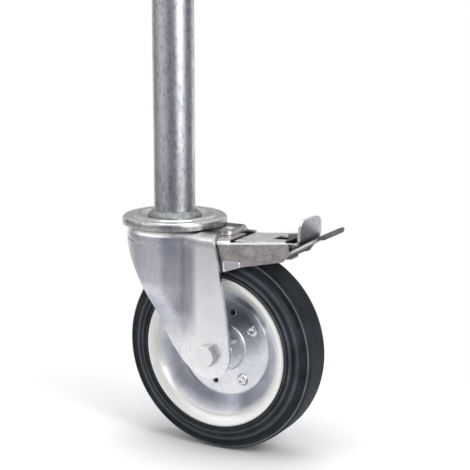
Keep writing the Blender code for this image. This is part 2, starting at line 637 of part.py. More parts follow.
def make_housing(steel):
    inner = HOUSING_BEND - HOUSING_T
    low = WEB_TOP - 2 * HOUSING_BEND
    corner_out = arc((HOUSING_HALF - HOUSING_BEND, WEB_TOP - HOUSING_BEND), HOUSING_BEND, 0, 90, 4)
    corner_in = arc((HOUSING_HALF - HOUSING_BEND, WEB_TOP - HOUSING_BEND), inner, 90, 0, 3)
    half = [(HOUSING_HALF, low)] + corner_out
    back = corner_in + [(HOUSING_IN, low)]
    channel = half + [(-y, z) for y, z in half[::-1]] + [(-y, z) for y, z in back[::-1]] + back
    housing = sheet("brake_housing", [channel], WEB_END - HOUSING_FRONT, "YZ", (WEB_END + HOUSING_FRONT) / 2, steel)
    x, z = SHOE_PIN
    top = WEB_TOP - HOUSING_BEND - 0.0010
    side = [(HOUSING_FRONT, top), (WEB_END, top), (WEB_END + 0.0005, WEB_TOP - 0.0030),
            (HOUSING_REAR - 0.0040, WEB_TOP + 0.0027), (HOUSING_REAR, WEB_TOP - 0.0007),
            (HOUSING_REAR, WEB_TOP - 0.0082), (HOUSING_REAR - 0.0055, WEB_TOP - 0.0159),
            (x + 0.0297, z - 0.0181), (x + 0.0099, z - 0.0252), (x + 0.0020, z - 0.0235), (HOUSING_FRONT, z - 0.0095)]
    step = [(x + 0.0100, z - 0.0140), (x + 0.0260, z - 0.0140), (x + 0.0290, z - 0.0155), (x + 0.0290, z - 0.0187),
            (x + 0.0100, z - 0.0251)]
    for name, y in (("near", -1), ("far", 1)):
        middle = y * (HOUSING_IN + HOUSING_HALF) / 2
        join(housing, sheet(f"housing_side_{name}", [side], HOUSING_T, "XZ", middle, cutter=True))
        join(housing, sheet(f"housing_step_{name}", [step], HOUSING_T, "XZ", y * (HOUSING_HALF + STEP_PROUD), cutter=True))
    holes = [("pedal_pin_holes", PEDAL_PIN, PEDAL_PIN_R), ("shoe_pin_holes", SHOE_PIN, SHOE_PIN_R)]
    cut(housing, *(across(name, pin, radius + GAP) for name, pin, radius in holes),
        rod("web_rivet_hole", (HOUSING_RIVET_X, 0, 2 * WEB_UNDER), (HOUSING_RIVET_X, 0, 0),
            HOUSING_RIVET_R + GAP, cutter=True),
        block_cutter("web_notch", (NOTCH_FRONT, NOTCH_INSIDE, WEB_UNDER - 0.0010),
                     (WEB_END + 0.0100, HOUSING_HALF - HOUSING_BEND, WEB_TOP + 0.0010)))


def make_housing_rivet(zinc):
    low, high = WEB_UNDER - GAP, CROWN_TOP + GAP
    dome = [(HOUSING_RIVET_HEAD_R * x, high + HOUSING_RIVET_HEAD_H * z) for x, z in arc((0, 0), 1.0, 90, 0, 3)]
    dome[0] = (0.0, dome[0][1])
    rivet = dome + [(HOUSING_RIVET_R, high), (HOUSING_RIVET_R, low), (HOUSING_RIVET_HEAD_R, low),
                    (HOUSING_RIVET_HEAD_R - 0.0010, low - 0.0015), (0.0, low - 0.0015)]
    soften(turned("housing_rivet", rivet, zinc, (HOUSING_RIVET_X, 0, 0), steps=20))


def make_pins(steel):
    for name, (x, z), radius in (("pedal_pin", PEDAL_PIN, PEDAL_PIN_R), ("shoe_pin", SHOE_PIN, SHOE_PIN_R)):
        reach = HOUSING_HALF + PIN_PROUD
        rod(name, (x, -reach, z), (x, reach, z), radius, steel, sides=20)


def make_lever(steel):
    """Top sheet with two cheeks on the pin, bent up at the rear into the release tab."""
    x, z = PEDAL_PIN
    front_top, rear_top = WEB_TOP - 0.0017, WEB_TOP + 0.0008
    corner = (TAB_X - LEVER_BEND, rear_top + LEVER_BEND)
    top = [(LEVER_FRONT, front_top), (corner[0], rear_top)] + arc(corner, LEVER_BEND, -84, -4, 5)
    top += [(TAB_X + 0.0010, TAB_TOP)]
    lever = sheet("release_lever", [thick_line(top, -PEDAL_T)], 2 * LEVER_HALF, "XZ", mat=steel)
    cheek = [(x + 0.0150, front_top), (LEVER_FRONT + 0.0100, front_top - 0.0015)] + arc(PEDAL_PIN, EYE_R, -160, -20, 8)
    hole = arc(PEDAL_PIN, PEDAL_PIN_R + GAP, 0, 345, 23)
    for name, y in (("near", -1), ("far", 1)):
        middle = y * (LEVER_HALF - PEDAL_T / 2)
        join(lever, sheet(f"lever_cheek_{name}", [cheek, hole], PEDAL_T - 2 * GAP, "XZ", middle, cutter=True))
    near, far, below = 0.0100, 0.0120, WEB_TOP - 0.0270
    face = arc((near + 0.0005 - LEVER_HALF, TAB_TOP - near), near, 90, 180, 5)
    face += [(0.0020 - LEVER_HALF, -0.0080), (-LEVER_HALF - 0.0010, -0.0100), (-LEVER_HALF - 0.0010, below)]
    face += [(LEVER_HALF + 0.0010, below), (LEVER_HALF + 0.0010, -0.0100), (LEVER_HALF - 0.0025, -0.0040)]
    face += arc((LEVER_HALF - 0.0005 - far, TAB_TOP - far), far, 0, 90, 5)
    combine(lever, sheet("tab_outline", [face], 0.200, "YZ", TAB_X, cutter=True), "INTERSECT")
    cut(lever,
        block_cutter("lever_window", (x + 0.0090, -WINDOW_HALF, z), (x + 0.0200, WINDOW_HALF, WEB_TOP + 0.0050)),
        block_cutter("lever_slot", (x - 0.0080, -SLOT_HALF, z), (x + 0.0040, SLOT_HALF, WEB_TOP + 0.0100)))
    soften(lever)


def make_pedal(steel):
    """Sloping foot plate with cheeks on the pin and a lip that bears on the shoe's tail."""
    line = [(LIP_X + x, LIP_BOTTOM + z) for x, z in PEDAL_LINE]
    pedal = sheet("brake_pedal", [thick_line(line, -PEDAL_T)], 2 * PEDAL_HALF, "XZ", mat=steel)
    cheek = [(LIP_X + 0.0020, LIP_BOTTOM + 0.0010), (LIP_X + 0.0020, PEDAL_PIN[1])] + arc(PEDAL_PIN, EYE_R, 70, 270, 8)
    for name, y in (("near", -1), ("far", 1)):
        middle = y * (PEDAL_HALF - PEDAL_T / 2)
        join(pedal, sheet(f"pedal_cheek_{name}", [cheek], PEDAL_T - 2 * GAP, "XZ", middle, cutter=True))
    cut(pedal, across("pedal_pin_hole", PEDAL_PIN, PEDAL_PIN_R + GAP))
    soften(pedal)


def make_shoe(steel):
    """Channel with a curved pad over the tyre, a tail under the pedal and a tooth at the front."""
    centre = (TRAIL, -AXLE_DROP)

    def unlocked(point):
        return swung(point, SHOE_PIN, -SHOE_SWING)

    under = WHEEL_R + SHOE_CLEAR
    pad_start, pad_end = 78, 66
    pad_low = [unlocked(p) for p in arc(centre, under, pad_start, pad_end, 4)]
    pad_high = [unlocked(p) for p in arc(centre, under + SHOE_T, pad_start, pad_end, 4)]
    tail_top = LIP_BOTTOM - GAP
    tail = [(TAIL_START, tail_top - SHOE_T), (TAIL_END, tail_top - SHOE_T), (TAIL_END, tail_top),
            (TAIL_END - 0.0050, tail_top)]
    x, z = SHOE_PIN
    tooth, deep = LOCK_ROOT_R + 0.0008, SHOE_PIN[1] - 0.0395
    arm_top = LOW_RING_BOTTOM - GAP
    arm_low = arm_top - SHOE_ARM_T
    web = x - SHOE_PIN_R - 0.0010
    side = [(tooth, arm_low), (pad_low[0][0] - 0.0050, arm_low)] + pad_low + tail
    side += [(x + 0.0400, z - 0.0075), (x + 0.0200, z - 0.0010)] + arc(SHOE_PIN, SHOE_EYE_R, 60, 150, 4)
    side += [(x - 0.0100, arm_top), (tooth, arm_top)]
    shoe = sheet("brake_shoe", [side], 2 * SHOE_HALF, "XZ", mat=steel)
    inside = [(x - 0.0200, arm_top), (web, arm_top), (web, deep), (pad_low[0][0], deep)] + pad_high
    inside += [(TAIL_START, tail_top), (TAIL_END + 0.0100, tail_top), (TAIL_END + 0.0100, 0.0), (x - 0.0200, 0.0)]
    cut(shoe, sheet("shoe_inside", [inside], 2 * (SHOE_HALF - SHOE_T), "XZ", cutter=True))
    for name, y in (("near", -1), ("far", 1)):
        start, end, wide = LOCK_ROOT_R - 0.0072, LOCK_R + 0.0130, SHOE_HALF + 0.0100
        plan = [(start, 0.0014), (LOCK_ROOT_R, 0.0014), (LOCK_R + 0.0010, 0.0017), (end, SHOE_HALF), (end, wide),
                (start, wide)]
        cut(shoe, sheet(f"shoe_taper_{name}", [[(x, y * w) for x, w in plan]], 0.020, "XY", arm_top, cutter=True))
    cut(shoe, across("shoe_pin_hole", SHOE_PIN, SHOE_PIN_R + GAP))


def make_spring(steel):
    """Torsion spring on the pedal pin, with one leg forward under the lever."""
    wire, turns, per_turn, half = 0.0009, 5, 10, SPRING_HALF
    radius = PEDAL_PIN_R + GAP + wire
    curve = bpy.data.curves.new("return_spring", "CURVE")
    curve.dimensions = "3D"
    curve.bevel_depth = wire
    curve.bevel_resolution = 1
    curve.use_fill_caps = True
    spline = curve.splines.new("POLY")
    count = turns * per_turn
    points = []
    for i in range(count + 1):
        angle = 2 * math.pi * i / per_turn
        points.append((PEDAL_PIN[0] + radius * math.sin(angle), -half + 2 * half * i / count,
                       PEDAL_PIN[1] - radius * math.cos(angle)))
    ends = [(PEDAL_PIN[0] - 0.0100, y, PEDAL_PIN[1] - radius) for y in (-half, half)]
    points = ends[:1] + points + ends[1:]
    spline.points.add(len(points) - 1)
    for point, place in zip(spline.points, points):
        point.co = (*place, 1)
    add("return_spring", curve, steel)


def main():
    clear_scene()
    zinc = material("galvanised_zinc", (0.66, 0.68, 0.70), 0.38, 1.0)
    bright = material("bright_zinc", (0.76, 0.77, 0.78), 0.28, 1.0)
    plain = material("plain_steel", (0.56, 0.54, 0.53), 0.42, 1.0)
    dark = material("dark_steel", (0.20, 0.20, 0.21), 0.45, 1.0)
    rubber = material("black_rubber", (0.030, 0.032, 0.036), 0.62, 0.0)
    plastic = material("seal_plastic", (0.06, 0.06, 0.065), 0.55, 0.0)
    make_stem(zinc, bright)
    make_king_bolt(dark)
    ball_ring("upper_ball_ring", RACE_R, BALL_Z, BALL_R, BALL_COUNT, dark)
    ball_ring("lower_ball_ring", LOW_RACE_R, LOW_BALL_Z, LOW_BALL_R, LOW_BALL_COUNT, dark)
    make_lock_ring(dark)
    make_fork(bright)
    make_rim(bright)
    make_tyre(rubber)
    make_hub(bright, dark, plastic)
    make_axle(bright)
    make_housing(plain)
    make_housing_rivet(bright)
    make_pins(dark)
    make_lever(plain)
    make_pedal(plain)
    make_shoe(dark)
    make_spring(dark)


main()
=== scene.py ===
"""Looks of the scaffold castor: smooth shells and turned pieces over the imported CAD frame,
procedural metal and rubber, a pale floor and soft studio light.

Metres, +Z up, in the CAD frame: the swivel axis is Z, and the wheel's axle lies along Y.
"""

import json
import math

import bmesh
import bpy
from mathutils import Matrix, Vector

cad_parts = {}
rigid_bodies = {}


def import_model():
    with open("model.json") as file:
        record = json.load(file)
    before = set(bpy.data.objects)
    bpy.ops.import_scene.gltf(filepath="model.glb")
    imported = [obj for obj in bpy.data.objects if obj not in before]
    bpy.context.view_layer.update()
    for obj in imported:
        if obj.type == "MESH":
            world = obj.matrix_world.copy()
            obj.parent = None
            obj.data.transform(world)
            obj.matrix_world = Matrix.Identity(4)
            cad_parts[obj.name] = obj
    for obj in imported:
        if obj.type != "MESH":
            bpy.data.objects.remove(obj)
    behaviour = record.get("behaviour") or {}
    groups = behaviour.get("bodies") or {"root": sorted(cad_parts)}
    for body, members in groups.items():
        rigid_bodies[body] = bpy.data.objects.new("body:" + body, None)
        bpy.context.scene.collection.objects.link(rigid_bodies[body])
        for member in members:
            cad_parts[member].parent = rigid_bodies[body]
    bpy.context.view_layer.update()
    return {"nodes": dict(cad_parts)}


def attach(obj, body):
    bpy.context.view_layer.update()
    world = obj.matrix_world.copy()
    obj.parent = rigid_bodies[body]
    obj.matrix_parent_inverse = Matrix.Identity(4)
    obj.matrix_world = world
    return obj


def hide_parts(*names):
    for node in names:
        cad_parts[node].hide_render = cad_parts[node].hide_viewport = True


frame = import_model()
nodes = frame["nodes"]

# Sizes, nearly all as in the CAD source
GAP = 0.0003
STEM_R, STEM_WALL, STEM_TOP = 0.02025, 0.00325, 0.260
WELD_R, WELD_RISE = 0.0265, 0.0065
PLATE_T, PLATE_FLOOR, PLATE_R, ROLL_R = 0.0035, -0.0015, 0.0517, 0.0040
RACE_R, RACE_TOP, RACE_HALF = 0.0375, 0.0012, 0.0030
CROWN_TOP, FORK_T, SHOULDER_R, VALLEY_SOFT = -0.0090, 0.0040, 0.0060, 0.0030
HOOD_R, LEG_OUT, HOOD_LOW, LEG_TOP_X = 0.0470, 0.0360, -0.0210, 0.0620
SHOULDER_REAR, SHOULDER_START, SHOULDER_END = 0.0120, 0.0260, 0.0500
BULGE_START, BULGE_END = -0.0600, -0.1120
TONGUE_END, TONGUE_HALF, TONGUE_CORNER = 0.0700, 0.0150, 0.0090
TRAIL, AXLE_DROP, LEG_END_R = 0.057, 0.127, 0.0235
AXLE_R, AXLE_HEAD_AF, AXLE_HEAD_H, AXLE_NUT_H = 0.0060, 0.019, 0.0075, 0.0100
AXLE_TAIL, AXLE_WASHER_R, AXLE_WASHER_T = 0.0030, 0.0120, 0.0020
SLEEVE_R, HUB_BORE_R, HUB_R, HUB_HALF, SEAL_T = 0.0100, 0.0170, 0.0225, 0.0290, 0.0020
RIM_T, RIM_R, RIM_SEAT_R, RIM_HALF, WEB_R = 0.0028, 0.0750, 0.0680, 0.0252, 0.0490
WHEEL_R = 0.1000
RIVET_CIRCLE_R, RIVET_HEAD_R, RIVET_HEAD_H = 0.0370, 0.0062, 0.0030
RIVET_ANGLES, VENT_ANGLES, VENT_R = (33, 123, 213, 303), (75, 255), 0.0027
HOUSING_T, HOUSING_HALF, HOUSING_BEND = 0.0025, 0.0300, 0.0060
HOUSING_FRONT, WEB_END, HOUSING_REAR = 0.0400, 0.0765, 0.1385
NOTCH_FRONT, NOTCH_INSIDE = 0.0670, 0.0040
WEB_TOP, STEP_PROUD = -0.0133, 0.0002
HOUSING_RIVET_X, HOUSING_RIVET_HEAD_R, HOUSING_RIVET_HEAD_H = 0.0615, 0.0046, 0.0028
PEDAL_PIN, PEDAL_PIN_R, PIN_PROUD = (0.1200, -0.0228), 0.0030, 0.0006
SHOE_PIN, SHOE_PIN_R = (0.0600, -0.0205), 0.0025
PEDAL_T, PEDAL_HALF, LEVER_HALF, EYE_R = 0.0030, 0.0260, 0.0225, 0.0058
LEVER_FRONT, LEVER_BEND, TAB_X, TAB_TOP = 0.0790, 0.0055, 0.1455, 0.0100
TAB_NEAR_R, TAB_FAR_R, TAB_NEAR_OUT, TAB_FAR_IN = 0.0075, 0.0120, 0.0028, 0.0010
FLARE_START, FLARE_END = -0.0115, -0.0075
WINDOW_HALF, WINDOW_NEAR_HALF, SLOT_HALF = 0.0150, 0.0195, 0.0040
LIP_X, LIP_BOTTOM, PEDAL_CORNER = 0.1295, -0.0280, 0.0040
TAIL_X, TAIL_TOP = 0.1300, -0.0295
AXLE = Vector((TRAIL, 0.0, -AXLE_DROP))
GROUND = -AXLE_DROP - WHEEL_R
SIDES = (("near", -1), ("far", 1))

# Fine shapes that are only here
CHAMFER_CIRCLE, CHAMFER_ANGLE, EDGE_ANGLE, ROW_STEP = 0.95, 28, 50, 0.0015
TAIL_NARROWED, TAIL_SHORTENED, TAIL_RAISED = 0.45, 0.0015, 0.0012

# Looks: the hood's crease, the painted highlight under the head plate, brush lines along X, then the floor, world and
# lamps
CREASE_X, HIGHLIGHT_Z, ALONG_X = 0.0362, -0.0124, (0.05, 1, 1)
SHADE_REACH, FADE_START, FADE_END, WORLD_LEVEL = 0.160, 0.16, 0.36, 0.62
CAMERA_BEARING, LAMP_TARGET, CARD_SOFT = -59.1, Vector((0.04, 0, -0.05)), 0.2


# Lines and meshes

def arc(centre, radius, start, end, steps):
    angles = [math.radians(start + (end - start) * i / steps) for i in range(steps + 1)]
    return [(centre[0] + radius * math.cos(a), centre[1] + radius * math.sin(a)) for a in angles]


def through(points, steps):
    """A smooth open line through the points (Catmull-Rom)."""
    ends = [points[0]] + list(points) + [points[-1]]
    line = []
    for a, b, c, d in zip(ends, ends[1:], ends[2:], ends[3:]):
        for i in range(steps):
            t = i / steps
            line.append(tuple(
                0.5 * (2 * q + (r - p) * t + (2 * p - 5 * q + 4 * r - s) * t * t
                       + (3 * q - p - 3 * r + s) * t ** 3)
                for p, q, r, s in zip(a, b, c, d)))
    return line + [points[-1]]


def rounded(points, radius, steps=5, closed=False):
    """The line with each corner turned into an arc; radius is one number or one per point."""
    count = len(points)
    radii = [radius] * count if isinstance(radius, (int, float)) else radius
    line = []
    for i, here in enumerate(points):
        if not closed and i in (0, count - 1):
            line.append(here)
            continue
        before, after = Vector(points[i - 1]), Vector(points[(i + 1) % count])
        here = Vector(here)
        back, on = (before - here), (after - here)
        angle = back.angle(on)
        if radii[i] <= 0 or angle > math.radians(176):
            line.append(tuple(here))
            continue
        reach = min(radii[i] / math.tan(angle / 2), 0.48 * back.length, 0.48 * on.length)
        start, end = here + back.normalized() * reach, here + on.normalized() * reach
        for k in range(steps + 1):
            t = k / steps
            line.append(tuple((1 - t) ** 2 * start + 2 * t * (1 - t) * here + t * t * end))
    return line


def thick_line(points, thickness):
    """A closed outline: this line, and the same line moved thickness to its left."""
    moved = []
    for i, here in enumerate(points):
        sides = []
        for a, b in ((points[max(i - 1, 0)], here), (here, points[min(i + 1, len(points) - 1)])):
            length = math.dist(a, b)
            if length > 1e-9:
                sides.append(Vector((-(b[1] - a[1]) / length, (b[0] - a[0]) / length)))
        normal = sum(sides, Vector((0, 0))).normalized()
        reach = thickness / max(normal.dot(sides[0]), 0.5)
        moved.append((here[0] + normal.x * reach, here[1] + normal.y * reach))
    return list(points) + moved[::-1]


def value_at(line, place):
    """The line's second number where its first, which rises along it, is place."""
    for (x0, z0), (x1, z1) in zip(line, line[1:]):
        if x0 <= place <= x1 and x1 > x0:
            return z0 + (z1 - z0) * (place - x0) / (x1 - x0)
    return line[0][1] if place < line[0][0] else line[-1][1]


def eased(value, start, end):
    """0 before start, 1 past end, and a smooth rise between them."""
    t = min(max((value - start) / (end - start), 0.0), 1.0)
    return t * t * (3 - 2 * t)


def box(inner, outer, low, high):
    """A rectangle's outline, for a turned piece."""
    return [(inner, low), (outer, low), (outer, high), (inner, high)]


def corner_cut(along, radius):
    """How far a rounded corner draws its edge in, this far along its radius."""
    return radius - math.sqrt(max(radius ** 2 - max(along, 0.0) ** 2, 0.0))


def mesh_of(name, bm):
    mesh = bpy.data.meshes.new(name)
    bm.to_mesh(mesh)
    bm.free()
    return mesh


def in_scene(name, data):
    obj = bpy.data.objects.new(name, data)
    bpy.context.scene.collection.objects.link(obj)
    return obj


def merged(bm, reach):
    bmesh.ops.remove_doubles(bm, verts=bm.verts, dist=reach)
    return bm


def take_in(bm, other):
    """Adds the other's faces to bm."""
    mesh = mesh_of("other", other)
    bm.from_mesh(mesh)
    bpy.data.meshes.remove(mesh)


def wrap(bm, rings):
    """Faces between each closed ring of vertices and the next."""
    for a, b in zip(rings, rings[1:]):
        for i in range(len(a)):
            bm.faces.new((a[i - 1], a[i], b[i], b[i - 1]))


def place_piece(name, bm, mat, body, replaced=(), smooth=35):
    bmesh.ops.recalc_face_normals(bm, faces=bm.faces)
    mesh = mesh_of(name, bm)
    obj = in_scene(name, mesh)
    mesh.materials.append(mat)
    mesh.shade_smooth()
    mesh.set_sharp_from_angle(angle=math.radians(smooth))
    if replaced:
        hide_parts(*replaced)
    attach(obj, body)
    return obj


def turned(profile, steps=160, centre=AXLE, axis="Y", wave=None):
    """A solid of revolution of a closed (radius, height) outline. wave moves a point by its angle."""
    bm = bmesh.new()
    turn = {"Z": Matrix.Identity(4), "Y": Matrix.Rotation(-math.pi / 2, 4, "X")}[axis]
    turn = Matrix.Translation(centre) @ turn
    rings = []
    for i in range(steps):
        angle = 2 * math.pi * i / steps
        ring = []
        for k, (radius, height) in enumerate(profile):
            if wave:
                radius, height = wave(k, angle, radius, height)
            place = Vector((radius * math.cos(angle), radius * math.sin(angle), height))
            ring.append(bm.verts.new(turn @ place))
        rings.append(ring)
    for a, b in zip(rings, rings[1:] + rings[:1]):
        for k in range(len(profile)):
            j = (k + 1) % len(profile)
            if profile[k][0] > 1e-7 or profile[j][0] > 1e-7:
                bm.faces.new((a[k], a[j], b[j], b[k]))
    return merged(bm, 1e-7)


def sheet_of(columns, skip=None):
    """A grid of quads over columns of points. skip(i, j) leaves a cell out."""
    bm = bmesh.new()
    grid = [[bm.verts.new(p) for p in column] for column in columns]
    for i, (a, b) in enumerate(zip(grid, grid[1:])):
        for j in range(len(a) - 1):
            if not (skip and skip(i, j)):
                bm.faces.new((a[j], a[j + 1], b[j + 1], b[j]))
    return merged(bm, 1e-6)


def plate(obj, thickness, edge, offset=-1.0):
    """Gives a surface its thickness and rounds its cut edges."""
    solid = obj.modifiers.new("thickness", "SOLIDIFY")
    solid.thickness = thickness
    solid.offset = offset
    solid.use_even_offset = True
    bevel = obj.modifiers.new("edges", "BEVEL")
    bevel.width = edge
    bevel.segments = 2
    bevel.limit_method = "ANGLE"
    bevel.angle_limit = math.radians(EDGE_ANGLE)


def hexagon(start, end):
    """A chamfered hexagon about the axle from start to end, both along Y, with the chamfer at end."""
    flat, way, steps = AXLE_HEAD_AF / 2, (1 if end > start else -1), 96
    inner = CHAMFER_CIRCLE * flat
    bm = bmesh.new()
    rings = [[], [], [], []]
    for i in range(steps):
        angle = math.radians(360 * i / steps)
        radius = flat / math.cos((angle + math.pi / 6) % (math.pi / 3) - math.pi / 6)
        drop = (radius - inner) * math.tan(math.radians(CHAMFER_ANGLE))
        for ring, r, y in ((rings[0], 0.02 * flat, start), (rings[1], radius, start),
                           (rings[2], radius, end - way * drop), (rings[3], inner, end)):
            ring.append(bm.verts.new(AXLE + Vector((r * math.sin(angle), y, r * math.cos(angle)))))
    wrap(bm, rings)
    bm.faces.new(rings[3])
    return bm


# Materials

class Nodes:
    """Shader nodes made one by one. A value is a number, a colour, a place or another node's socket."""

    def __init__(self, tree):
        self.tree = tree

    def put(self, value, socket):
        if isinstance(value, bpy.types.NodeSocket):
            self.tree.links.new(value, socket)
        else:
            socket.default_value = (*value, 1) if socket.type == "RGBA" else value

    def node(self, kind, inputs=None, **settings):
        made = self.tree.nodes.new(f"ShaderNode{kind}")
        for key, value in settings.items():
            setattr(made, key, value)
        for key, value in (inputs or {}).items():
            self.put(value, made.inputs[key])
        return made

    def maths(self, operation, a, b=0.0):
        return self.node("Math", {0: a, 1: b}, operation=operation).outputs[0]

    def shared(self, share, first, second):
        """The first shader, and the second by its share."""
        return self.node("MixShader", {0: share, 1: first, 2: second}).outputs[0]

    def show(self, shader, output="Material Output"):
        self.put(shader, self.tree.nodes[output].inputs["Surface"])


class Finish(Nodes):
    """A procedural material built up over one Principled shader. Its places are metres on the object."""

    def __init__(self, name, colour, metallic, roughness):
        self.mat = bpy.data.materials.new(name)
        self.mat.use_nodes = True
        super().__init__(self.mat.node_tree)
        self.shader = self.tree.nodes["Principled BSDF"]
        for socket, value in (("Base Color", colour), ("Metallic", metallic), ("Roughness", roughness)):
            self.into(socket, value)
        self.place = self.node("TexCoord").outputs["Object"]

    def into(self, socket, value):
        self.put(value, self.shader.inputs[socket])

    def stretched(self, scale):
        return self.node("Mapping", {"Vector": self.place, "Scale": scale}).outputs[0]

    def noise(self, scale, detail=4.0, rough=0.55, where=None, distortion=0.0):
        return self.node("TexNoise", {"Vector": where or self.place, "Scale": scale, "Detail": detail,
                                      "Roughness": rough, "Distortion": distortion}).outputs["Fac"]

    def cells(self, scale, where):
        made = self.node("TexVoronoi", {"Vector": where, "Scale": scale})
        return self.node("SeparateColor", {0: made.outputs["Color"]}).outputs[0]

    def axes(self):
        return self.node("SeparateXYZ", {0: self.place}).outputs

    def distance(self, where, point):
        return self.node("VectorMath", {0: where, 1: point}, operation="DISTANCE").outputs["Value"]

    def from_axle(self):
        """Distance from the axle's line."""
        flat = self.node("VectorMath", {0: self.place, 1: (1, 0, 1)}, operation="MULTIPLY")
        return self.distance(flat.outputs[0], AXLE)

    def off(self, value, middle=0.0):
        """How far the value is from the middle, either way."""
        return self.maths("ABSOLUTE", self.maths("SUBTRACT", value, middle))

    def line(self, x, slope, at, height):
        """Height at x of the straight line that passes (at, height)."""
        return self.maths("ADD", self.maths("MULTIPLY", self.maths("SUBTRACT", x, at), slope), height)

    def span(self, value, low, high, to_low=0.0, to_high=1.0, curve="LINEAR"):
        """to_low where the value is at low or before it, to_high at high or past it."""
        return self.node("MapRange", {"Value": value, "From Min": low, "From Max": high, "To Min": to_low,
                                      "To Max": to_high}, interpolation_type=curve).outputs[0]

    def times(self, value, *others):
        for other in others:
            value = self.maths("MULTIPLY", value, other)
        return value

    def within(self, *spans):
        """The product of these spans: a patch of the surface, 1 inside and 0 outside."""
        return self.times(*(self.span(*span) for span in spans))

    def weighed(self, *pairs):
        """The sum of each value times its weight."""
        parts = [self.maths("MULTIPLY", value, weight) for value, weight in pairs]
        for part in parts[1:]:
            parts[0] = self.maths("ADD", parts[0], part)
        return parts[0]

    def mixed(self, share, a, b, blend="MIX"):
        return self.node("Mix", {0: share, 6: a, 7: b}, data_type="RGBA", blend_type=blend).outputs[2]

    def tinted(self, base, *tints):
        """The base, multiplied by each tint as far as its share says."""
        for share, tint in tints:
            base = self.mixed(share, base, self.mixed(1.0, base, tint, "MULTIPLY"))
        return base

    def bump(self, height, distance, strength, under=None):
        made = self.node("Bump", {"Height": height, "Distance": distance, "Strength": strength})
        if under:
            self.put(under, made.inputs["Normal"])
        self.into("Normal", made.outputs[0])
        return made.outputs[0]


def galvanised(name, light, dark, roughness, foot=1.0):
    """Hot-dip zinc: soft spangle, cloudy patches and faint runs down the piece, duller by foot at its lower end."""
    made = Finish(name, light, 1.0, roughness)
    spangle = made.cells(210, made.stretched((1, 1, 0.6)))
    cloud = made.noise(38, 5, 0.6, distortion=0.6)
    runs = made.noise(90, 3, 0.5, made.stretched((1, 1, 0.09)))
    tone = made.weighed((spangle, 0.30), (cloud, 0.75), (runs, 0.55))
    blotch = made.span(made.noise(330, 5, 0.75, made.stretched((1, 1, 0.5))), 0.50, 0.64)
    low = made.span(made.axes()[2], 0.075, 0.025)
    zinc = made.mixed(made.span(tone, 0.45, 1.15), dark, light)
    made.into("Base Color", made.tinted(zinc, (blotch, (0.58, 0.58, 0.63)), (low, (foot, foot, foot))))
    made.into("Roughness", made.span(tone, 0.4, 1.2, roughness + 0.10, roughness - 0.08))
    grain = made.bump(made.noise(900, 3), 0.00005, 0.5)
    made.bump(cloud, 0.0005, 0.35, grain)
    return made.mat


def plated(name, light, dark, roughness):
    """Bright zinc plate, nearly even, with faint clouds and fine marks. The axle bolt's head has painted shade on its
    rear sides.
    """
    made = Finish(name, light, 1.0, roughness)
    x, y, _ = made.axes()
    cloud = made.noise(30, 4, 0.5, distortion=0.4)
    speck = made.noise(420, 4, 0.65)
    tone = made.weighed((cloud, 0.7), (speck, 0.3))
    zinc = made.mixed(made.span(tone, 0.32, 0.62), dark, light)
    face = -LEG_OUT - GAP - AXLE_HEAD_H
    # Painted shade: the rear side faces of the axle bolt's head are tinted darker.
    rear_sides = made.within((x, TRAIL + 0.0030, TRAIL + 0.0050), (y, face + 0.0001, face + 0.0004),
                             (y, -LEG_OUT + 0.0020, -LEG_OUT), (made.from_axle(), 0.0118, 0.0113))
    made.into("Base Color", made.tinted(zinc, (rear_sides, (0.60, 0.60, 0.61))))
    made.into("Roughness", made.span(cloud, 0.3, 0.7, roughness + 0.05, roughness - 0.03))
    grain = made.bump(speck, 0.00005, 0.3)
    made.bump(made.noise(24, 2), 0.0004, 0.07, grain)
    return made.mat


def drawn(name, light, dark, roughness, along, patches, weights):
    """Drawn sheet steel with fine lines along the piece and cloudy patches. Gives the finish and its colour."""
    made = Finish(name, light, 1.0, roughness)
    lines = made.noise(700, 4, 0.7, made.stretched(along))
    tone = made.weighed((lines, weights[0]), (made.noise(*patches, distortion=0.8), weights[1]))
    made.into("Roughness", made.span(lines, 0.3, 0.7, roughness - 0.06, roughness + 0.10))
    made.bump(lines, 0.00010, 0.45)
    return made, made.mixed(made.span(tone, 0.42, 0.78), dark, light)


def brushed(name, light, dark, roughness, along=ALONG_X):
    made, steel = drawn(name, light, dark, roughness, along, (60, 4, 0.6), (0.6, 0.6))
    made.into("Base Color", steel)
    return made.mat


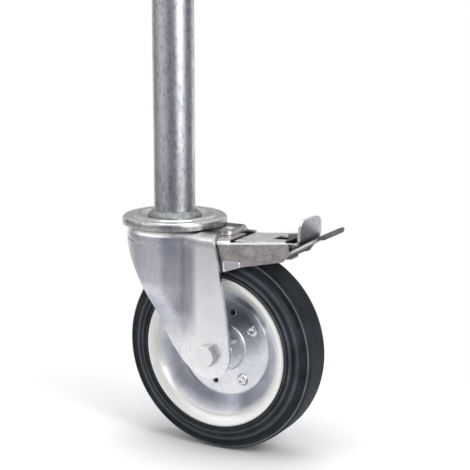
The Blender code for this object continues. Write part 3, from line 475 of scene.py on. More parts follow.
def pressed(name, light, dark, roughness):
    """Bright zinc over the pressed fork, with painted shade: darker and bluer on the hood and lower down it, a dark
    crease where the hood meets each leg, darker shoulder and crown tops, a dark line along the tongue's far edge and
    dark patches beside the tongue. A painted highlight gives a bright band under the head plate."""
    made = Finish(name, light, 1.0, roughness)
    x, y, z = made.axes()
    cloud = made.noise(30, 4, 0.5, distortion=0.4)
    runs = made.noise(70, 4, 0.6, made.stretched((1, 1, 0.10)))
    speck = made.noise(420, 4, 0.65)
    tone = made.weighed((cloud, 0.45), (runs, 0.40), (speck, 0.15))
    # Painted shade: the hood is tinted darker and bluer, mostly lifted below z = -0.042 behind x = 0.014.
    hood_shade_gap = made.within((z, -0.028, -0.042), (x, 0.006, 0.014))
    hood = made.within((made.weighed((x, 1.0), (tone, 0.006)), 0.036, 0.026), (hood_shade_gap, 0.0, 1.0, 1.0, 0.15))
    blotch = made.within((made.noise(190, 5, 0.75, made.stretched((1, 1, 0.4))), 0.50, 0.66),
                         (x, 0.048, 0.034, 0.25, 1.0))
    # Painted shade: a band low on the hood's front is tinted darker.
    lower = made.within((z, -0.068, -0.084), (z, -0.120, -0.100), (x, 0.038, 0.030))
    # Painted shade: a dark bluish band along the crease where the hood meets each leg.
    crease = made.within((made.off(x, CREASE_X), 0.0095, 0.0025), (z, -0.112, -0.085), (z, -0.014, -0.026),
                         (tone, 0.20, 0.75, 0.55, 1.0))
    # Painted shade: the rounded shoulder tops over the legs' rear are tinted darker.
    shoulder = made.within((z, -0.0230, -0.0180), (x, 0.028, 0.040))
    # Painted shade: the crown's and tongue's top behind x = 0.05 is tinted darker.
    top = made.within((z, CROWN_TOP - 0.0008, CROWN_TOP - 0.0003), (x, 0.044, 0.050))
    zinc = made.mixed(made.span(tone, 0.32, 0.66), dark, light)
    zinc = made.tinted(zinc, (hood, (0.80, 0.80, 0.86)), (blotch, (0.82, 0.82, 0.86)), (lower, (0.66, 0.66, 0.71)),
                       (crease, (0.34, 0.34, 0.39)), (shoulder, (0.70, 0.70, 0.70)), (top, (0.60, 0.61, 0.58)))
    # Painted shade: a near-black line along the far edge of that top.
    tongue_edge_shade = made.times(top, made.span(made.weighed((y, 1.0), (tone, 0.002)), 0.0085, 0.0105))
    # Painted shadow of the head plate: dark patches on the fork's top beside the tongue.
    beside = made.within((z, -0.0138, -0.0118), (x, 0.036, 0.043), (made.off(y), 0.0155, 0.0180))
    zinc = made.tinted(made.mixed(tongue_edge_shade, zinc, (0.06, 0.06, 0.06)), (beside, (0.30, 0.31, 0.30)))
    # Painted highlight: a bright, less metallic band round the crown's shoulder under the head plate, weaker at the
    # front and the rear.
    painted_highlight = made.within((made.off(z, HIGHLIGHT_Z), 0.0032, 0.0016), (x, 0.023, 0.012, 0.25, 1.0),
                      (x, -0.022, -0.012, 0.35, 1.0))
    made.into("Base Color", made.mixed(painted_highlight, zinc, (0.96, 0.96, 0.94)))
    made.into("Metallic", made.span(painted_highlight, 0.0, 1.0, 1.0, 0.20))
    made.into("Roughness", made.span(cloud, 0.3, 0.7, roughness + 0.05, roughness - 0.03))
    made.bump(speck, 0.00005, 0.3)
    return made.mat


def edge_highlighted(name, light, dark, roughness, edge):
    """Drawn steel with a painted highlight along its edges. edge gives the painted highlight's share from x, y and z.
    """
    made, steel = drawn(name, light, dark, roughness, ALONG_X, (95, 6, 0.7), (0.35, 0.85))
    made.into("Base Color", made.mixed(edge(made, *made.axes()), steel, (0.93, 0.93, 0.92)))
    return made.mat


def housing_edge(made, x, y, z):
    """Painted highlight along the top of each side of the brake housing."""
    line = made.line(x, 0.0973, 0.0635, -0.0177)
    return made.within((made.off(z, line), 0.0021, 0.0012), (made.off(y), 0.0270, 0.0276))


def pedal_edge(made, x, y, z):
    """Painted highlight on the lower half of the foot plate's near and far edges, less of it towards its end."""
    above = made.maths("SUBTRACT", z, made.line(x, 0.559, 0.1345, -0.0206))
    return made.within((above, -0.0010, -0.0014), (made.off(y), 0.0252, 0.0256), (x, 0.168, 0.160))


def levered(name, light, dark, roughness):
    """Drawn steel, lighter on the upright tab, with painted shade round the slot and a painted shadow in front of the
    window.
    """
    made, steel = drawn(name, light, dark, roughness, (1, 0.2, 1), (120, 6, 0.7), (0.40, 0.80))
    x, y, z = made.axes()
    steel = made.tinted(steel, (made.span(z, -0.004, -0.010), (0.88, 0.88, 0.86)))
    # Painted shadow: near-black over the plate from a slanted line back to the window's rear edge, leaving the near
    # strip.
    window = made.within((made.weighed((x, 1.0), (y, 0.39)), 0.1216, 0.1236), (x, 0.1400, 0.1393),
                         (y, -0.0190, -0.0180))
    # Painted shade: near-black over the slot and a little past its far side.
    slot = made.within((x, 0.1095, 0.1110), (x, 0.1250, 0.1240), (y, -0.0052, -0.0040),
                       (made.weighed((y, 1.0), (x, 0.6)), 0.0800, 0.0780))
    made.into("Base Color", made.mixed(made.maths("MAXIMUM", window, slot), steel, (0.035, 0.035, 0.040)))
    return made.mat


def spun(name):
    """Bright zinc over the rims, by the distance from the axle: a brushed web with painted shade over its upper part,
    a cone tinted grey-blue and darker at its bottom as a painted reflection, and a painted highlight that makes the
    flange whiter.
    """
    made = Finish(name, (0.86, 0.87, 0.88), 1.0, 0.32)
    far = made.from_axle()
    x, _, z = made.axes()
    angle = made.maths("ARCTAN2", made.maths("ADD", z, AXLE_DROP), made.maths("SUBTRACT", x, TRAIL))
    cloud = made.noise(30, 4, 0.5, distortion=0.4)

    def streaks(outwards, around):
        where = made.node("CombineXYZ", {0: made.times(far, outwards), 1: made.times(angle, around)})
        return made.noise(1.0, 4, 0.65, where.outputs[0])

    rays, rings = streaks(130.0, 9.0), streaks(900.0, 0.6)
    # Painted reflection: the cone is tinted grey-blue.
    cone = made.within((far, 0.0485, 0.0505), (far, 0.0640, 0.0560))
    # Painted reflection: the cone's bottom is tinted darker.
    low = made.times(cone, made.span(z, -0.150, -0.175))
    # Painted shade: the web above the axle is tinted dark blue-grey, in streaks.
    upper_web_shade = made.within((z, -0.118, -0.097), (far, 0.0500, 0.0400), (rays, 0.2, 0.8, 0.7, 1.0))
    seam = made.span(made.off(far, WEB_R + 0.0002), 0.0009, 0.0003)
    zinc = made.mixed(made.span(cloud, 0.32, 0.62), (0.72, 0.73, 0.77), (0.86, 0.87, 0.88))
    zinc = made.tinted(zinc, (made.span(rays, 0.65, 0.35), (0.86, 0.86, 0.88)), (cone, (0.84, 0.84, 0.91)),
                       (low, (0.76, 0.76, 0.80)), (upper_web_shade, (0.48, 0.53, 0.58)), (seam, (0.62, 0.62, 0.68)))
    # Painted highlight: the flange is mixed to a whiter, less metallic colour, reaching further in at the top.
    flange = made.span(made.maths("ADD", far, made.span(z, -0.125, -0.100, 0.0, 0.0045)), 0.0615, 0.0660)
    made.into("Base Color", made.mixed(flange, zinc, (0.76, 0.765, 0.74)))
    made.into("Metallic", made.span(flange, 0.0, 1.0, 1.0, 0.35))
    made.into("Roughness", made.span(rings, 0.3, 0.7, 0.36, 0.27))
    made.bump(rings, 0.00004, 0.35)
    return made.mat


def moulded_rubber(name):
    """Black rubber, greyer on its crests as painted highlights: the shoulder's ridge, the wall's middle band and the
    bead.
    """
    made = Finish(name, (0.014, 0.016, 0.019), 0.0, 0.5)
    made.into("Specular IOR Level", 0.17)
    far = made.from_axle()
    side = made.span(made.off(made.axes()[1]), 0.0150, 0.0160)
    cloud = made.noise(45, 5, 0.6)
    black = made.mixed(made.span(cloud, 0.35, 0.7), (0.005, 0.008, 0.011), (0.020, 0.025, 0.031))
    # Painted highlights: greyer bands on the sidewall's crests.
    for middle, half, tone in ((0.0975, 0.0009, (0.16, 0.17, 0.18)), (0.0815, 0.0016, (0.075, 0.078, 0.090)),
                               (0.0880, 0.0022, (0.066, 0.072, 0.084)), (0.0770, 0.0008, (0.08, 0.08, 0.088))):
        crest = made.within((made.off(far, middle), half, 0.2 * half), (cloud, 0.25, 0.75, 0.35, 1.0))
        black = made.mixed(made.times(crest, side), black, tone)
    made.into("Base Color", black)
    dull_tread = made.span(side, 0.0, 1.0, 0.14, 0.0)
    made.into("Roughness", made.maths("ADD", made.span(cloud, 0.3, 0.7, 0.42, 0.56), dull_tread))
    grain = made.bump(made.noise(1400, 3, 0.6), 0.00004, 0.6)
    made.bump(cloud, 0.0004, 0.15, grain)
    return made.mat


def dull_plastic(name):
    made = Finish(name, (0.05, 0.05, 0.055), 0.0, 0.5)
    grain = made.noise(600, 3)
    made.into("Base Color", made.mixed(made.span(grain, 0.3, 0.7), (0.04, 0.04, 0.045), (0.07, 0.07, 0.075)))
    made.bump(grain, 0.00005, 0.5)
    return made.mat


GALVANISED = galvanised("galvanised_zinc_skin", (0.74, 0.75, 0.78), (0.50, 0.51, 0.56), 0.34, 0.80)
PLATE_ZINC = galvanised("galvanised_plate_skin", (0.60, 0.61, 0.59), (0.42, 0.43, 0.42), 0.30)
WELD = galvanised("weld_zinc_skin", (0.36, 0.37, 0.37), (0.16, 0.17, 0.18), 0.45)
BRIGHT = plated("bright_zinc_skin", (0.88, 0.89, 0.88), (0.78, 0.79, 0.80), 0.26)
RIM_ZINC = spun("bright_rim_skin")
FORK_ZINC = pressed("pressed_zinc_skin", (0.88, 0.88, 0.88), (0.76, 0.77, 0.79), 0.27)
# Painted shade: a darker, rougher copy of the zinc for the housing rivet, which sits under the head plate.
RIVET_ZINC = plated("rivet_zinc_skin", (0.50, 0.50, 0.48), (0.40, 0.40, 0.38), 0.60)
BOLT_ZINC = plated("bolt_zinc_skin", (0.90, 0.90, 0.90), (0.82, 0.83, 0.83), 0.42)
# Painted highlight along the top edge of each housing side.
WALL_STEEL = edge_highlighted("housing_steel_skin", (0.54, 0.50, 0.49), (0.24, 0.22, 0.22), 0.40, housing_edge)
# Painted shade: the foot plate's steel is dark all over, with a painted highlight on the lower half of its edges.
FOOT_STEEL = edge_highlighted("pedal_steel_skin", (0.13, 0.13, 0.14), (0.06, 0.06, 0.07), 0.42, pedal_edge)
LEVER_STEEL = levered("lever_steel_skin", (0.86, 0.85, 0.89), (0.58, 0.57, 0.61), 0.34)
STEEL = brushed("drawn_steel_skin", (0.52, 0.49, 0.48), (0.30, 0.28, 0.28), 0.36)
TAB_STEEL = brushed("tab_steel_skin", (0.74, 0.73, 0.77), (0.46, 0.45, 0.49), 0.34, along=(1, 0.2, 1))
DARK = brushed("dark_steel_skin", (0.24, 0.24, 0.25), (0.14, 0.14, 0.15), 0.42)
RUBBER = moulded_rubber("black_rubber_skin")
PLASTIC = dull_plastic("seal_plastic_skin")


# Stem and head plate

def make_stem():
    foot, inner, rows = PLATE_FLOOR + GAP, STEM_R - STEM_WALL, 24
    outside = [(STEM_R, foot + (STEM_TOP - foot) * i / rows) for i in range(rows + 1)]
    radii = [0.0002, 0.0002] + [0] * (rows - 1) + [0.0007, 0.0007]
    tube = rounded([(inner, foot), *outside, (inner, STEM_TOP)], radii, 4, closed=True)
    place_piece("stem_skin", turned(tube, 144, (0, 0, 0), "Z"), GALVANISED, "stem", ["stem_tube"])

    crest = [(STEM_R - 0.0010, 0.0), (WELD_R, 0.0), (WELD_R + 0.0001, 0.0010), (WELD_R - 0.0010, 0.0025),
             (WELD_R - 0.0032, 0.0040), (STEM_R + 0.0012, 0.0056), (STEM_R, WELD_RISE),
             (STEM_R - 0.0010, WELD_RISE)]

    def ripple(k, angle, radius, height):
        if k not in (2, 3, 4, 5):
            return radius, height
        swell = 0.5 + 0.5 * math.cos(68 * angle + 0.8 * math.sin(5 * angle))
        lump = 0.00030 * swell + 0.00022 * math.sin(7 * angle + 1.3) * math.sin(3 * angle)
        return radius - 0.0002 + lump, height + 0.5 * lump

    bead = turned([(r, foot + h) for r, h in crest], 544, (0, 0, 0), "Z", ripple)
    place_piece("weld_bead", bead, WELD, "stem", smooth=60)


def make_head_plate():
    ring_in, ring_out = RACE_R - RACE_HALF, RACE_R + RACE_HALF
    corners = [(0.0083, PLATE_FLOOR), (ring_in - 0.0022, PLATE_FLOOR), (ring_in + 0.0004, RACE_TOP),
               (ring_out - 0.0004, RACE_TOP), (ring_out + 0.0018, -0.0009), (ring_out + 0.0046, 0.0),
               (PLATE_R - ROLL_R, 0.0)]
    line = rounded(corners, (0, 0.0030, 0.0022, 0.0020, 0.0016, 0.0020, 0), 6)[:-1]
    line += arc((PLATE_R - ROLL_R, -ROLL_R), ROLL_R, 90, 0, 9) + [(PLATE_R, -0.0081)]
    outline = rounded(thick_line(line[::-1], PLATE_T), 0.0002, 2, closed=True)
    place_piece("plate_skin", turned(outline, 192, (0, 0, 0), "Z"), PLATE_ZINC, "stem",
                ["head_plate"])


# Fork

def fork_edges():
    """The fork's front and rear edges from the side, each as (-z, x) from the crown down."""
    front = through([(-0.047, HOOD_LOW), (-0.0405, -0.0245), (-0.0339, -0.0306), (-0.0213, -0.0481),
                     (-0.0090, -0.0663), (0.0020, -0.0875), (0.0100, -0.1090), (0.0211, -0.1256),
                     (0.0325, -0.1390), (0.0442, -0.1467)], 8)
    end = arc((TRAIL, -AXLE_DROP), LEG_END_R, -123, -3, 40)
    lowest = min(range(len(end)), key=lambda i: end[i][1])
    rear = through([(LEG_TOP_X, -0.0080), (0.0635, -0.0180), (0.0673, -0.0347), (0.0709, -0.0560),
                    (0.0774, -0.0973), end[-1]], 8)
    lines = front + end[1:lowest + 1], rear + end[::-1][1:len(end) - lowest]
    return [[(-z, x) for x, z in line] for line in lines]


def make_fork():
    """One half of the pressed shell as a grid of height rows, mirrored, with the crown and tongue."""
    front, rear = fork_edges()
    lowest, count = -front[-1][0], 84

    def inset_at(x, drop):
        bend = SHOULDER_R + (SHOULDER_REAR - SHOULDER_R) * eased(x, SHOULDER_START, SHOULDER_END)
        return corner_cut(bend - drop, bend)

    def row(height):
        drop, bulge = CROWN_TOP - height, 1 - eased(height, BULGE_START, BULGE_END)
        radius = HOOD_R - inset_at(0.0, drop)
        valley = math.sqrt(radius ** 2 - (LEG_OUT - inset_at(0.0, drop)) ** 2)  # where the hood meets the leg
        turn = math.acos(valley / radius)
        x_rear = value_at(rear, -height)
        last = max(value_at(front, -height), -radius) if height < HOOD_LOW else -radius
        if last < -valley:
            last = -valley - radius * (turn - math.acos(min(-last / radius, 1.0)))
        points = []
        for i in range(count + 1):
            s = x_rear + (last - x_rear) * i / count
            if s >= -valley:
                flat = LEG_OUT - inset_at(s, drop)
                proud = math.sqrt(max((HOOD_R - inset_at(s, drop)) ** 2 - s ** 2, 0.0)) - flat
                soft = VALLEY_SOFT if s > 0 else 0.0
                points.append(Vector((s, -(flat + bulge * 0.5 * (proud + math.hypot(proud, soft))), height)))
            else:
                angle = turn - (-valley - s) / radius
                points.append(Vector((-radius * math.cos(angle), -radius * math.sin(max(angle, 0.0)), height)))
        return points

    heights = [CROWN_TOP - SHOULDER_REAR - ROW_STEP * i for i in range(76)]
    heights = [h for h in heights if h > -AXLE_DROP] + [
        -AXLE_DROP + (lowest + AXLE_DROP) * math.sin(math.radians(90 * i / 22)) for i in range(23)]
    rows = [row(max(h, lowest + 1e-6)) for h in heights][::-1]
    rows += [row(CROWN_TOP - SHOULDER_REAR * (1 - math.sin(math.radians(a))))
             for a in (9, 18, 27, 36, 45, 54, 62, 70, 77, 84, 90)]
    crown = rows[-1]
    inside = TONGUE_HALF / -crown[0].y
    shares = [1 - (1 - inside) * i / 3 for i in (1, 2)] + [inside * (1 - i / 6) for i in range(7)]
    rows += [[Vector((p.x, p.y * share, CROWN_TOP)) for p in crown] for share in shares]
    bm = sheet_of(rows)

    stops = [TONGUE_END - TONGUE_CORNER * (1 - math.sin(math.radians(a))) for a in (12, 24, 36, 48, 60, 70, 80, 90)]
    limits = [(crown[0].x, TONGUE_HALF)] + [
        (x, TONGUE_HALF - corner_cut(x - (TONGUE_END - TONGUE_CORNER), TONGUE_CORNER)) for x in stops]
    tongue = [[bm.verts.new((x, -half * (1 - k / 6), CROWN_TOP)) for k in range(7)] for x, half in limits]
    for a, b in zip(tongue, tongue[1:]):
        for k in range(6):
            bm.faces.new((a[k], b[k], b[k + 1], a[k + 1]))
    merged(bm, 1e-5)
    other = bmesh.ops.duplicate(bm, geom=bm.verts[:] + bm.edges[:] + bm.faces[:])["geom"]
    flipped = [v for v in other if isinstance(v, bmesh.types.BMVert)]
    bmesh.ops.scale(bm, vec=(1, -1, 1), verts=flipped)
    fork = place_piece("fork_shell", merged(bm, 1e-5), FORK_ZINC, "fork", ["fork"], smooth=38)
    plate(fork, FORK_T, 0.0007)


# Wheel

def spot_at(degrees):
    """The middle of a rivet or vent, this far round the wheel."""
    angle = math.radians(degrees)
    return AXLE + RIVET_CIRCLE_R * Vector((math.cos(angle), 0, math.sin(angle)))


def bored(obj, spot, radius):
    """Cuts a round hole along Y through the piece."""
    bm = turned(box(0.0, radius, -0.010, 0.010), 24, spot)
    bmesh.ops.recalc_face_normals(bm, faces=bm.faces)
    cutter = in_scene("cutter", mesh_of("cutter", bm))
    cut = obj.modifiers.new("hole", "BOOLEAN")
    cut.object, cut.operation, cut.solver = cutter, "DIFFERENCE", "EXACT"
    bpy.context.view_layer.update()
    done = bpy.data.meshes.new_from_object(obj.evaluated_get(bpy.context.evaluated_depsgraph_get()))
    obj.modifiers.clear()
    obj.data = done
    bpy.data.objects.remove(cutter)


def make_rims():
    face = GAP / 2 + RIM_T
    corners = [(HUB_R + GAP, face + 0.0016), (HUB_R + 0.0016, face), (WEB_R, face),
               (RIM_SEAT_R - 0.0040, RIM_HALF - 0.0072), (RIM_SEAT_R - 0.0018, RIM_HALF - 0.0044),
               (RIM_SEAT_R + 0.0010, RIM_HALF - 0.0020), (RIM_R - 0.0018, RIM_HALF - 0.0004),
               (RIM_R + 0.0002, RIM_HALF - 0.0010)]
    line = rounded(corners, (0, 0.0012, 0.0050, 0.0030, 0.0040, 0.0040, 0.0012, 0), 7)
    outline = rounded(thick_line(line, -RIM_T), 0.0003, 2, closed=True)
    for name, side in SIDES:
        rim = place_piece(f"rim_{name}_skin", turned([(r, side * h) for r, h in outline], 176), RIM_ZINC,
                          "wheel", [f"rim_{name}"])
        for i, degrees in enumerate(VENT_ANGLES):
            spot = spot_at(degrees)
            bored(rim, spot, VENT_R)
            lip = [(VENT_R + out, side * (face + rise)) for out, rise in
                   ((-0.0001, -0.0006), (0.0010, -0.0001), (0.0006, 0.0003), (0.0001, 0.0002))]
            place_piece(f"vent_lip_{name}_{i + 1}", turned(lip, 32, spot), RIM_ZINC, "wheel")
            if side < 0:
                shade = turned(box(0.0, VENT_R - GAP, -GAP, GAP), 24, spot)
                place_piece(f"vent_shade_{i + 1}", shade, RUBBER, "wheel")

    head = [(0.0, 0.0022), (0.0010, 0.0020), (0.0018, 0.0022), (0.0025, 0.0029), (0.0033, RIVET_HEAD_H),
            (0.0044, 0.0025), (0.0053, 0.0016), (0.0059, 0.0007), (RIVET_HEAD_R, 0.0)]
    top = face + GAP / 2
    shape = [(r, top + h) for r, h in head] + [(r, -top - h) for r, h in head[::-1]]
    for i, degrees in enumerate(RIVET_ANGLES):
        place_piece(f"rivet_skin_{i + 1}", turned(shape, 40, spot_at(degrees)), BRIGHT, "wheel",
                    [f"rim_rivet_{i + 1}"], smooth=50)


def make_tyre():
    behind = RIM_HALF - RIM_T - 0.0008
    seat = RIM_R + 0.0004
    side = [(seat, RIM_HALF - 0.0002), (seat + 0.0005, RIM_HALF + 0.0001), (seat + 0.0012, RIM_HALF - 0.0007),
            (seat + 0.0020, RIM_HALF - 0.0016), (seat + 0.0032, RIM_HALF - 0.0017), (seat + 0.0041, RIM_HALF - 0.0009),
            (seat + 0.0052, RIM_HALF - 0.0005), (seat + 0.0061, RIM_HALF - 0.0009), (seat + 0.0068, RIM_HALF - 0.0020),
            (0.0836, 0.0227), (0.0855, 0.0225), (0.0875, 0.0218), (0.0893, 0.0208), (0.0906, 0.0196),
            (0.0916, 0.0182), (0.0930, 0.0174), (0.0950, 0.0172), (0.0961, 0.0176), (0.0970, 0.0181), (0.0978, 0.0179),
            (0.0983, 0.0171), (0.0986, 0.0162), (0.0992, 0.0153), (0.0997, 0.0143), (0.0999, 0.0128),
            (WHEEL_R, 0.0105), (WHEEL_R, 0.0055)]
    side = through(side, 3)
    half = [(RIM_SEAT_R, 0.0), (RIM_SEAT_R, behind - 0.0052), (seat, behind)] + side + [(WHEEL_R, 0.0)]
    profile = half + [(r, -h) for r, h in half[-2:0:-1]]
    place_piece("tyre_skin", turned(profile, 224), RUBBER, "wheel", ["tyre"], smooth=60)


def make_hub():
    tube = rounded(box(HUB_BORE_R, HUB_R, -HUB_HALF, HUB_HALF), 0.0011, 5, closed=True)
    place_piece("hub_skin", turned(tube, 128), BRIGHT, "wheel", ["hub_tube"])
    low, high, cover = HUB_HALF - SEAL_T, HUB_HALF + 0.0012, HUB_R - 0.0015
    seal = rounded([(SLEEVE_R + GAP, low), (HUB_BORE_R - GAP, low), (HUB_BORE_R - GAP, HUB_HALF + GAP),
                    (cover, HUB_HALF + GAP), (cover, high), (SLEEVE_R + GAP, high)], 0.0003, 3, closed=True)
    for name, side in SIDES:
        place_piece(f"seal_skin_{name}", turned([(r, side * h) for r, h in seal], 96), PLASTIC,
                    "wheel", [f"hub_seal_{name}"])


def make_axle():
    head_in = LEG_OUT + GAP
    nut_in = head_in + AXLE_WASHER_T + GAP
    nut_out = nut_in + AXLE_NUT_H
    end = nut_out + AXLE_TAIL
    bolt = hexagon(-head_in, -head_in - AXLE_HEAD_H)
    shank = rounded(box(0.0001, AXLE_R, -head_in, end), (0, 0, 0.0009, 0), 3, closed=True)
    take_in(bolt, turned(shank, 64))
    place_piece("bolt_skin", bolt, BOLT_ZINC, "fork", ["axle_bolt"], smooth=28)
    washer = rounded(box(AXLE_R + GAP, AXLE_WASHER_R, head_in, head_in + AXLE_WASHER_T), 0.0004, 3, closed=True)
    place_piece("washer_skin", turned(washer, 72), BRIGHT, "fork", ["axle_washer"])
    place_piece("nut_skin", hexagon(nut_in, nut_out), BRIGHT, "fork", ["axle_nut"], smooth=28)


# Brake

def housing_half(side):
    """Half of a channel of sheet steel: a long side, and a web over its front, with one grid column per x."""
    rear = HOUSING_REAR + 0.0002
    top_line = rounded([(HOUSING_FRONT, WEB_TOP - HOUSING_BEND), (WEB_END, WEB_TOP - HOUSING_BEND),
                        (WEB_END + 0.0008, WEB_TOP - 0.0030), (HOUSING_REAR - 0.0040, -0.0106), (rear, -0.0142)],
                       (0, 0, 0.0010, 0.0050, 0), 6)
    low_line = rounded([(HOUSING_FRONT, -0.0300), (0.0620, -0.0440), (0.0699, -0.0457), (0.0897, -0.0386),
                        (0.1330, -0.0292), (rear, -0.0215)], (0, 0.006, 0.006, 0.012, 0.004, 0), 6)
    stops = {round(x, 6) for x, _ in top_line + low_line}
    stops |= {round(HOUSING_FRONT + (HOUSING_REAR - HOUSING_FRONT) * i / 60, 6) for i in range(61)}
    stops |= {WEB_END, WEB_END + 0.0001, NOTCH_FRONT}
    stops = sorted(x for x in stops if x <= HOUSING_REAR)
    columns = []
    for x in stops:
        low, high = value_at(low_line, x), value_at(top_line, x)
        columns.append([Vector((x, side * HOUSING_HALF, low + (high - low) * k / 10)) for k in range(11)])
    bm = sheet_of(columns)
    wide = HOUSING_HALF - HOUSING_BEND
    bend = arc((wide, WEB_TOP - HOUSING_BEND), HOUSING_BEND, 0, 90, 6)
    flat = [(wide - (wide - NOTCH_INSIDE) * k / 3, WEB_TOP) for k in (1, 2, 3)] + [(0.0, WEB_TOP)]
    web = [[bm.verts.new((x, side * y, z)) for y, z in bend + flat] for x in stops if x <= WEB_END]
    for a, b in zip(web, web[1:]):
        for j in range(len(a) - 1):
            notched = side > 0 and a[0].co.x > NOTCH_FRONT - 1e-6 and len(bend) - 1 <= j < len(a) - 2
            if not notched:
                bm.faces.new((a[j], a[j + 1], b[j + 1], b[j]))
    bmesh.ops.delete(bm, geom=[v for v in bm.verts if not v.link_faces], context="VERTS")
    merged(bm, 1e-5)
    if side > 0:
        bmesh.ops.reverse_faces(bm, faces=bm.faces)
    return bm


def make_brake_housing():
    whole = housing_half(-1)
    take_in(whole, housing_half(1))
    housing = place_piece("housing_shell", merged(whole, 1e-5), WALL_STEEL, "fork",
                          ["brake_housing"], smooth=38)
    plate(housing, HOUSING_T, 0.0005)
    panel = rounded([(0.0700, -0.0345), (0.0890, -0.0338), (0.0890, -0.0384), (0.0700, -0.0450)], 0.0012, 4,
                    closed=True)
    middle = Vector((sum(x for x, _ in panel), sum(z for _, z in panel))) / len(panel)
    for name, side in SIDES:
        for part, outer, inner, proud, mat in (("rim", 1.0, 0.80, 5, BOLT_ZINC), ("panel", 0.80, 0.0, 2, TAB_STEEL)):
            bm = bmesh.new()
            rings = []
            for share, lift in ((outer, 0), (outer - 0.05, proud), (inner + 0.05, proud), (inner, 0)):
                y = side * (HOUSING_HALF + lift * STEP_PROUD)
                rings.append([bm.verts.new((middle.x + (x - middle.x) * share, y, middle.y + (z - middle.y) * share))
                              for x, z in panel])
            wrap(bm, rings)
            place_piece(f"housing_step_{part}_{name}", merged(bm, 1e-6), mat, "fork", smooth=25)
    high, low = CROWN_TOP + GAP / 2, WEB_TOP - HOUSING_T
    head = [(max(HOUSING_RIVET_HEAD_R * r, 0.0), high + 0.6 * HOUSING_RIVET_HEAD_H * h)
            for r, h in arc((0, 0), 1.0, 90, 0, 8)]
    head += [(0.0030, high), (0.0030, low), (0.0044, low - GAP), (0.0036, WEB_TOP - 0.0040), (0.0, WEB_TOP - 0.0040)]
    place_piece("housing_rivet_skin", turned(head, 48, (HOUSING_RIVET_X, 0, 0), "Z"), RIVET_ZINC,
                "fork", ["housing_rivet"])
    for name, (x, z), radius in (("pedal_pin", PEDAL_PIN, PEDAL_PIN_R), ("shoe_pin", SHOE_PIN, SHOE_PIN_R)):
        reach = HOUSING_HALF + PIN_PROUD
        rod = rounded(box(0.0, radius, -reach, reach), (0, 0.0006, 0.0006, 0), 3, closed=True)
        place_piece(f"{name}_skin", turned(rod, 40, (x, 0, z)), STEEL, "fork", [name])


def bent_sheet(name, line, edges, mat, replaced, across=(), skip=None):
    """A bent plate: line is its (x, z) top line, edges(i) gives its y limits there, and across adds stops over it,
    from -1 to 1. skip(x, share across) leaves a cell out."""
    stops = sorted({-1.0, 1.0, *(k / 6 for k in range(-5, 6)), *across})
    columns = []
    for i, (x, z) in enumerate(line):
        low, high = edges(i)
        columns.append([Vector((x, low + (high - low) * (s + 1) / 2, z)) for s in stops])

    def left_out(i, j):
        return skip and skip((line[i][0] + line[i + 1][0]) / 2, (stops[j] + stops[j + 1]) / 2)

    obj = place_piece(name, sheet_of(columns, left_out), mat, "pedal", [replaced], smooth=38)
    if sum(face.normal.z for face in obj.data.polygons) < 0:
        obj.data.flip_normals()
    plate(obj, PEDAL_T, 0.0005)


def cheeks(name, outline, half):
    """Flat side plates under a bent plate, in the XZ plane, with rounded edges."""
    for side, way in SIDES:
        bm = bmesh.new()
        bm.faces.new([bm.verts.new((x, way * (half - PEDAL_T / 2), z)) for x, z in outline])
        cheek = place_piece(f"{name}_{side}", bm, STEEL, "pedal")
        plate(cheek, PEDAL_T - 0.0004, 0.0004, offset=0.0)


def make_lever():
    x, _ = PEDAL_PIN
    slot_from, slot_to, window_from, window_to = x - 0.0080, x + 0.0040, x + 0.0090, x + 0.0200
    front_top, rear_top = WEB_TOP - 0.0017, WEB_TOP + 0.0008
    corner = (TAB_X - LEVER_BEND, rear_top + LEVER_BEND)
    length = corner[0] - LEVER_FRONT
    stops = sorted({LEVER_FRONT, slot_from, slot_to, window_from, corner[0],
                    *(LEVER_FRONT + length * i / 20 for i in range(21))})
    line = [(s, front_top + (rear_top - front_top) * (s - LEVER_FRONT) / length) for s in stops]
    line = line[:-1] + [(corner[0], rear_top)] + arc(corner, LEVER_BEND, -84, -4, 10)
    start_x, start_z = line[-1]
    line += [(start_x + (TAB_X + 0.0010 - start_x) * i / 14, start_z + (TAB_TOP - start_z) * i / 14)
             for i in range(1, 15)]

    def edges(i):
        left, right = -LEVER_HALF, LEVER_HALF
        if i > len(stops):
            z = line[i][1]
            flare = eased(z, FLARE_START, FLARE_END)
            left -= TAB_NEAR_OUT * flare - corner_cut(z - (TAB_TOP - TAB_NEAR_R), TAB_NEAR_R)
            right -= TAB_FAR_IN * flare + corner_cut(z - (TAB_TOP - TAB_FAR_R), TAB_FAR_R)
        return left, right

    def skip(px, share):
        y = abs(share) * LEVER_HALF
        reach = WINDOW_HALF if share > 0 else WINDOW_NEAR_HALF
        return slot_from < px < slot_to and y < SLOT_HALF or window_from < px < window_to and y < reach

    across = [y / LEVER_HALF for y in (-WINDOW_NEAR_HALF, -WINDOW_HALF, WINDOW_HALF, -SLOT_HALF, SLOT_HALF)]
    bent_sheet("lever_plate", line, edges, LEVER_STEEL, "release_lever", across, skip)
    outline = [(x + 0.0150, front_top - 0.0010), (LEVER_FRONT + 0.0100, front_top - 0.0020)]
    cheeks("lever_cheek", outline + arc(PEDAL_PIN, EYE_R, -160, -20, 14), LEVER_HALF)


def make_shoe():
    """The shoe as packed, with the end of its tail slimmed under the foot plate."""
    packed = nodes["brake_shoe"]
    bm = bmesh.new()
    bm.from_mesh(packed.data)
    bm.transform(packed.matrix_world)
    for v in bm.verts:
        if v.co.x > TAIL_X and v.co.z < TAIL_TOP + 0.0005:
            v.co.y *= TAIL_NARROWED
            v.co.x -= TAIL_SHORTENED
            if v.co.z < TAIL_TOP - 0.0010:
                v.co.z += TAIL_RAISED
    place_piece("shoe_skin", bm, STEEL, "shoe", ["brake_shoe"], smooth=25)


